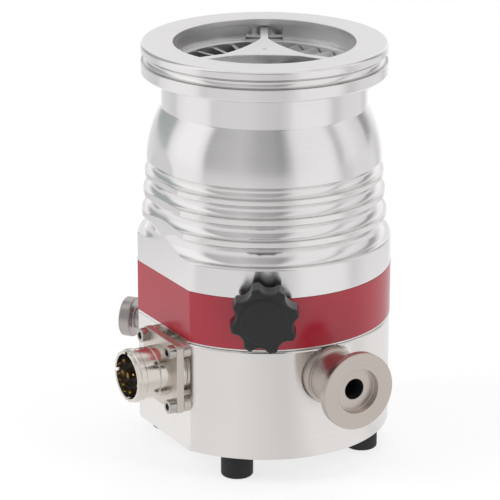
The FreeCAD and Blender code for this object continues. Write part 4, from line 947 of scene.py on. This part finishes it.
knob_outline = [(0, KNOB_BACK), (CAP_RADIUS * 0.8, KNOB_BACK)]
for step in range(KNOB_BACK_STEPS + 1):
    turn = pi / 2 * step / KNOB_BACK_STEPS
    knob_outline.append((lobed(KNOB_ROUND * (1 - sin(turn))), KNOB_BACK + KNOB_ROUND * (1 - cos(turn))))
for step in range(KNOB_FRONT_STEPS + 1):
    turn = pi / 2 * step / KNOB_FRONT_STEPS
    knob_outline.append((lobed(KNOB_ROUND * (1 - cos(turn))),
                         KNOB_FRONT - KNOB_ROUND * (1 - sin(turn))))
knob_outline += [(CAP_RADIUS + 2 * CAP_GAP, KNOB_FRONT),
                 (CAP_RADIUS + CAP_GAP, KNOB_FRONT - 2 * CAP_GAP),
                 (CAP_RADIUS + CAP_GAP, KNOB_FRONT - CAP_SUNK), (0, KNOB_FRONT - CAP_SUNK)]
knob = lathe("lobed_knob", knob_outline[::-1], even_columns(320), vent_place, 50)
knob_plastic = moulded("knob_plastic_black", (0.009, 0.0095, 0.0105), 0.33, 0.2, 0.22 * MM)
dress(knob, knob_plastic, "knob_black", "vent_knob", "vent_knob")
cap_outline = [(0, KNOB_FRONT + CAP_PROUD), (CAP_RADIUS - CAP_SHOULDER, KNOB_FRONT + CAP_PROUD * 0.8)]
cap_outline += bow(cap_outline[-1], (CAP_RADIUS, KNOB_FRONT + CAP_GAP), CAP_BEND, hollow=False,
                   steps=6)
cap_outline += [(CAP_RADIUS, KNOB_FRONT - CAP_SUNK), (0, KNOB_FRONT - CAP_SUNK)]
cap = lathe("knob_disc", cap_outline, even_columns(128), vent_place)
dress(cap, knob_plastic, "cap_black", "vent_knob", "knob_cap")


# Control connector: a square nickel-plated plate on four round spacers, held by socket screws. It holds
# a round shell with keyways in its rim, a black insert and twelve gold pins.
CONNECTOR_LEVEL = -122 * MM
CONNECTOR_ASIDE = 8 * MM
SPACER_LENGTH = 3 * MM
PLATE_BACK = FLAT + SPACER_LENGTH
PLATE_THICKNESS = 3 * MM
PLATE_FRONT = PLATE_BACK + PLATE_THICKNESS
PLATE_HALF = 13.8 * MM
PLATE_CORNER = 1.5 * MM
SCREW_OFFSET = 11 * MM
SHELL_RADIUS = 10 * MM
SHELL_WALL = 1.2 * MM
SHELL_RIM = PLATE_FRONT + 14.5 * MM
INSERT_FACE = SHELL_RIM - 9.5 * MM
PIN_TIP = INSERT_FACE + 4 * MM
connector_place = outward(-90, CONNECTOR_LEVEL, CONNECTOR_ASIDE)
nickel = turned_metal("nickel_plate", (0.8, 0.745, 0.69), 0.14, 0.5, connector_place)
plate_metal = turned_metal("satin_nickel", (0.76, 0.705, 0.65), 0.4, 0.4, connector_place)

PLATE_EDGE = 0.25 * MM
PLATE_PLAY = 0.03 * MM
PLATE_BORE_START = 40 * MM
work = box_work((-PLATE_HALF, -PLATE_HALF, PLATE_BACK), (PLATE_HALF, PLATE_HALF, PLATE_FRONT))
flat_edges = level_edges(work)
upright_edges = [edge for edge in work.edges if edge not in flat_edges]
soften(work, upright_edges, PLATE_CORNER, 6)
soften(work, level_edges(work), PLATE_EDGE, 2)
plate = from_work("connector_flange_plate", work, connector_place)
drill_out(plate, [rod("plate_bore", SHELL_RADIUS + PLATE_PLAY, PLATE_BORE_START, BEYOND,
                      connector_place, 96)])
dress(plate, plate_metal, "plate_metal", "housing", "connector_plate")

SHELL_RING = 0.45 * MM
SHELL_RING_WIDTH = 2.4 * MM
SHELL_RING_SLOPE = 0.2 * MM
SHELL_RING_DEPTH = 3.84 * MM
SHELL_SHOULDER = 1 * MM
SHELL_BACK = FLAT + 0.05 * MM
SHELL_EDGE = 0.15 * MM
GROOVE = 0.35 * MM
GROOVE_SLOPE = 0.1 * MM
GROOVE_DEPTH = 9.4 * MM
KEYWAY_DEPTH = 1.3 * MM
KEY_START_SHARE = 0.9
KEYWAYS = {90: 1.9 * MM, 180: 1.4 * MM, 215: 1.4 * MM, 270: 1.6 * MM, 325: 1.4 * MM}
shell_inner = SHELL_RADIUS - SHELL_WALL
ring_radius = SHELL_RADIUS + SHELL_RING
ring_low = SHELL_RIM - SHELL_RING_DEPTH
ring_high = ring_low + SHELL_RING_WIDTH
groove_high = SHELL_RIM - GROOVE_DEPTH
shell_outline = [(shell_inner, SHELL_RIM), (SHELL_RADIUS, SHELL_RIM), (SHELL_RADIUS, ring_high),
                 (ring_radius, ring_high - SHELL_RING_SLOPE), (ring_radius, ring_low),
                 (SHELL_RADIUS, ring_low - SHELL_RING_SLOPE), (SHELL_RADIUS, groove_high),
                 (SHELL_RADIUS - GROOVE, groove_high - GROOVE_SLOPE),
                 (SHELL_RADIUS - GROOVE, groove_high - GROOVE),
                 (SHELL_RADIUS, groove_high - GROOVE - GROOVE_SLOPE),
                 (SHELL_RADIUS, PLATE_FRONT + 1 * MM), (SHELL_RADIUS, PLATE_BACK),
                 (SHELL_RADIUS + SHELL_SHOULDER, PLATE_BACK),
                 (SHELL_RADIUS + SHELL_SHOULDER, SHELL_BACK), (shell_inner, SHELL_BACK)]
shell = lathe("connector_barrel", rounded(shell_outline, SHELL_EDGE), even_columns(144),
              connector_place)
key_start = shell_inner * KEY_START_SHARE
keyways = []
for angle, width in KEYWAYS.items():
    cutter = box_work((key_start, -width / 2, SHELL_RIM - KEYWAY_DEPTH),
                      (key_start + SHELL_RADIUS, width / 2, SHELL_RIM + KEYWAY_DEPTH))
    keyways.append(from_work("key", cutter, connector_place @ Matrix.Rotation(radians(angle), 4, "Z")))
drill_out(shell, keyways)
dress(shell, nickel, "shell_nickel", "housing", "connector_shell")

insert_black = moulded("insert_plastic_black", (0.006, 0.01, 0.018), 0.5, 0.05, 0.3 * MM)
INSERT_RADIUS = 8.7 * MM
INSERT_BACK = FLAT + 1 * MM
TRACK_DEPTH = 0.4 * MM
TRACK_RADII = (7.4 * MM, 7.5 * MM, 8.0 * MM, 8.1 * MM)
INSERT_EDGE = 0.1 * MM
track_floor = INSERT_FACE - TRACK_DEPTH
track_levels = (INSERT_FACE, track_floor, track_floor, INSERT_FACE)
insert_outline = [(0, INSERT_FACE), *zip(TRACK_RADII, track_levels), (INSERT_RADIUS, INSERT_FACE),
                  (INSERT_RADIUS, INSERT_BACK), (0, INSERT_BACK)]
insert = lathe("pin_insert", rounded(insert_outline, INSERT_EDGE), even_columns(96), connector_place)
dress(insert, insert_black, "insert_black", "housing", "connector_insert")

PIN = 0.6 * MM
PIN_RINGS = ((8, 6.3 * MM), (4, 2.7 * MM))
SEAT_RADIUS = 1 * MM
SEAT_TOP = INSERT_FACE + 0.35 * MM
SEAT_BOTTOM = INSERT_FACE - 0.2 * MM
GOLD_TONES = ((0.8, 0.5, 0.14), (0.95, 0.72, 0.3))
GOLD_WEAR = 900.0
gold, graph, spot = material("gold_plate")
wear = spot.noise(GOLD_WEAR, 3.0)
surface(graph, Base_Color=wear.mix(*GOLD_TONES), Metallic=1.0, Roughness=wear * 0.15 + 0.12)
pin_tip = [(0, PIN_TIP)] + bow((0, PIN_TIP), (PIN, PIN_TIP - PIN), PIN, hollow=False, steps=6)
for count, circle in PIN_RINGS:
    for k in range(count):
        angle = 2 * pi * (k + 0.5) / count
        pin_place = connector_place @ Matrix.Translation((circle * cos(angle), circle * sin(angle), 0))
        pin = lathe(f"contact_{count}_{k + 1}", pin_tip + [(PIN, FLAT), (0, FLAT)], even_columns(24),
                    pin_place)
        seat = rod(f"contact_seat_{count}_{k + 1}", SEAT_RADIUS, SEAT_BOTTOM, SEAT_TOP, pin_place, 32)
        dress(seat, insert_black, "insert_black", "housing")
        dress(pin, gold, "pin_gold", "housing", "connector_pins")

HEAD_RADIUS = 2.75 * MM
HEAD = 3 * MM
PLATE_SHANK = 1.5 * MM
TUBE_INNER = 1.6 * MM
TUBE_OUTER = 3 * MM
TUBE_EDGE = 0.15 * MM
LONG_SCREW = (3.5 * MM, 4 * MM, 2 * MM, -21 * MM)
SOCKET_SHARE = 0.48
SOCKET_FLOOR = 0.2
SCREW_CHAMFER = 0.1 * MM
SOCKET_CHAMFER = 0.12 * MM
HEAD_CORNER = ((0.86, 1), (0.95, 0.97), (1, 0.88))
SCREW_TURN = 0.4
screw_steel = turned_metal("screw_steel_bright", (0.56, 0.53, 0.5), 0.2, 0.5, connector_place)


def hexagon(across):
    """The radius of a hexagon at an angle, from half its width across the flats."""
    return lambda angle: across / cos((angle + pi / 6) % (pi / 3) - pi / 6)


def socket_screw(name, head_radius, head, shank_radius, shank_end, place):
    """A socket-head screw along its own Z, its seat at zero."""
    socket = head_radius * SOCKET_SHARE
    bottom = head * SOCKET_FLOOR
    points = [(0, bottom), (hexagon(socket), bottom), (hexagon(socket), head - SCREW_CHAMFER),
              (hexagon(socket + SOCKET_CHAMFER), head)]
    points += [(head_radius * out, head * up) for out, up in HEAD_CORNER]
    points += [(head_radius, SCREW_CHAMFER), (head_radius - SCREW_CHAMFER, 0), (shank_radius, 0),
               (shank_radius, shank_end), (0, shank_end)]
    return lathe(name, points, even_columns(60), place)


for k, (right, up) in enumerate([(-1, -1), (-1, 1), (1, -1), (1, 1)]):
    corner = connector_place @ Matrix.Translation((SCREW_OFFSET * right, SCREW_OFFSET * up, 0))
    turn = Matrix.Rotation(SCREW_TURN * k, 4, "Z")
    screw = socket_screw(f"plate_screw_{k + 1}", HEAD_RADIUS, HEAD, PLATE_SHANK,
                         -PLATE_THICKNESS - SPACER_LENGTH,
                         corner @ Matrix.Translation((0, 0, PLATE_FRONT)) @ turn)
    dress(screw, screw_steel, "screw_steel", "housing", "connector_screws")
    tube_outline = rounded(ring(TUBE_INNER, TUBE_OUTER, FLAT, PLATE_BACK), TUBE_EDGE)
    tube = lathe(f"plate_spacer_{k + 1}", tube_outline, even_columns(60), corner)
    dress(tube, plate_metal, "plate_metal", "housing", "connector_spacers")
for k, azimuth in enumerate(screw_azimuths):
    screw = socket_screw(f"long_screw_{k + 1}", *LONG_SCREW,
                         around(azimuth, SCREW_CIRCLE, -SCREW_SEAT) @ Matrix.Rotation(pi, 4, "X"))
    dress(screw, screw_steel, "screw_steel", "housing", "housing_screws")


# Purge plug: a turned steel plug with a plain round head, on the back left.
PLUG_RADIUS = 8 * MM
PLUG_TOP = 59.5 * MM
PLUG_BOTTOM = 55 * MM
PLUG_NECK = 4.3 * MM
PLUG_EDGE = 0.6 * MM
PLUG_STEM = 6 * MM
plug_tip = PLUG_SEAT - PLUG_STEM
plug_outline = [(0, PLUG_TOP), (PLUG_RADIUS, PLUG_TOP), (PLUG_RADIUS, PLUG_BOTTOM),
                (PLUG_NECK, PLUG_BOTTOM), (PLUG_NECK, plug_tip), (0, plug_tip)]
plug = lathe("round_plug", rounded(plug_outline, PLUG_EDGE), even_columns(120), plug_place)
plug_metal = turned_metal("turned_plug_steel", (0.47, 0.43, 0.425), 0.22, 0.8, plug_place)
dress(plug, plug_metal, "plug_steel", "housing", "purge_plug")


# Inner pieces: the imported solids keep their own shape. The rotor is milled aluminium, the rings and
# discs are turned or stamped, and the seals are rubber. The two washers show a steel rim round theirs.
plain_metals = {
    "rotor_aluminium": ((0.66, 0.66, 0.67), 0.42), "spacer_aluminium": ((0.86, 0.86, 0.855), 0.25),
    "stator_aluminium": ((0.85, 0.85, 0.85), 0.4), "shaft_steel": ((0.6, 0.6, 0.6), 0.2),
    "bearing_steel": ((0.75, 0.75, 0.76), 0.12), "magnet_grey": ((0.32, 0.32, 0.33), 0.4),
    "motor_core": ((0.3, 0.26, 0.23), 0.5), "screw_steel": ((0.62, 0.6, 0.57), 0.25),
}
plain_moulded = {
    "seal_rubber": ((0.012, 0.012, 0.013), 0.5), "cage_plastic": ((0.42, 0.3, 0.17), 0.45),
    "wick_felt": ((0.72, 0.68, 0.58), 0.95),
}
finishes = {slot: turned_metal("inner_" + slot, colour, roughness, 0.8)
            for slot, (colour, roughness) in plain_metals.items()}
finishes.update({slot: moulded("inner_" + slot, colour, roughness, 0.3, 0.3 * MM)
                 for slot, (colour, roughness) in plain_moulded.items()})
finishes.update({
    "housing_aluminium": housing_metal, "base_aluminium": base_metal, "red_band": band_finish,
    "star_aluminium": star_finish, "foreline_steel": port_metal, "plate_metal": plate_metal,
    "shell_nickel": nickel, "pin_gold": gold, "insert_black": insert_black, "knob_black": knob_plastic,
    "cap_black": knob_plastic, "foot_rubber": rubber, "plug_steel": plug_metal})
for part in frame["record"]["subparts"]:
    solid = frame["nodes"][part["node"]]
    solid.data.materials.clear()
    washer = part["node"] in ("foreline_port_seal", "purge_plug_seal")
    solid.data.materials.append(plug_metal if washer else finishes[part["material_slot"]])
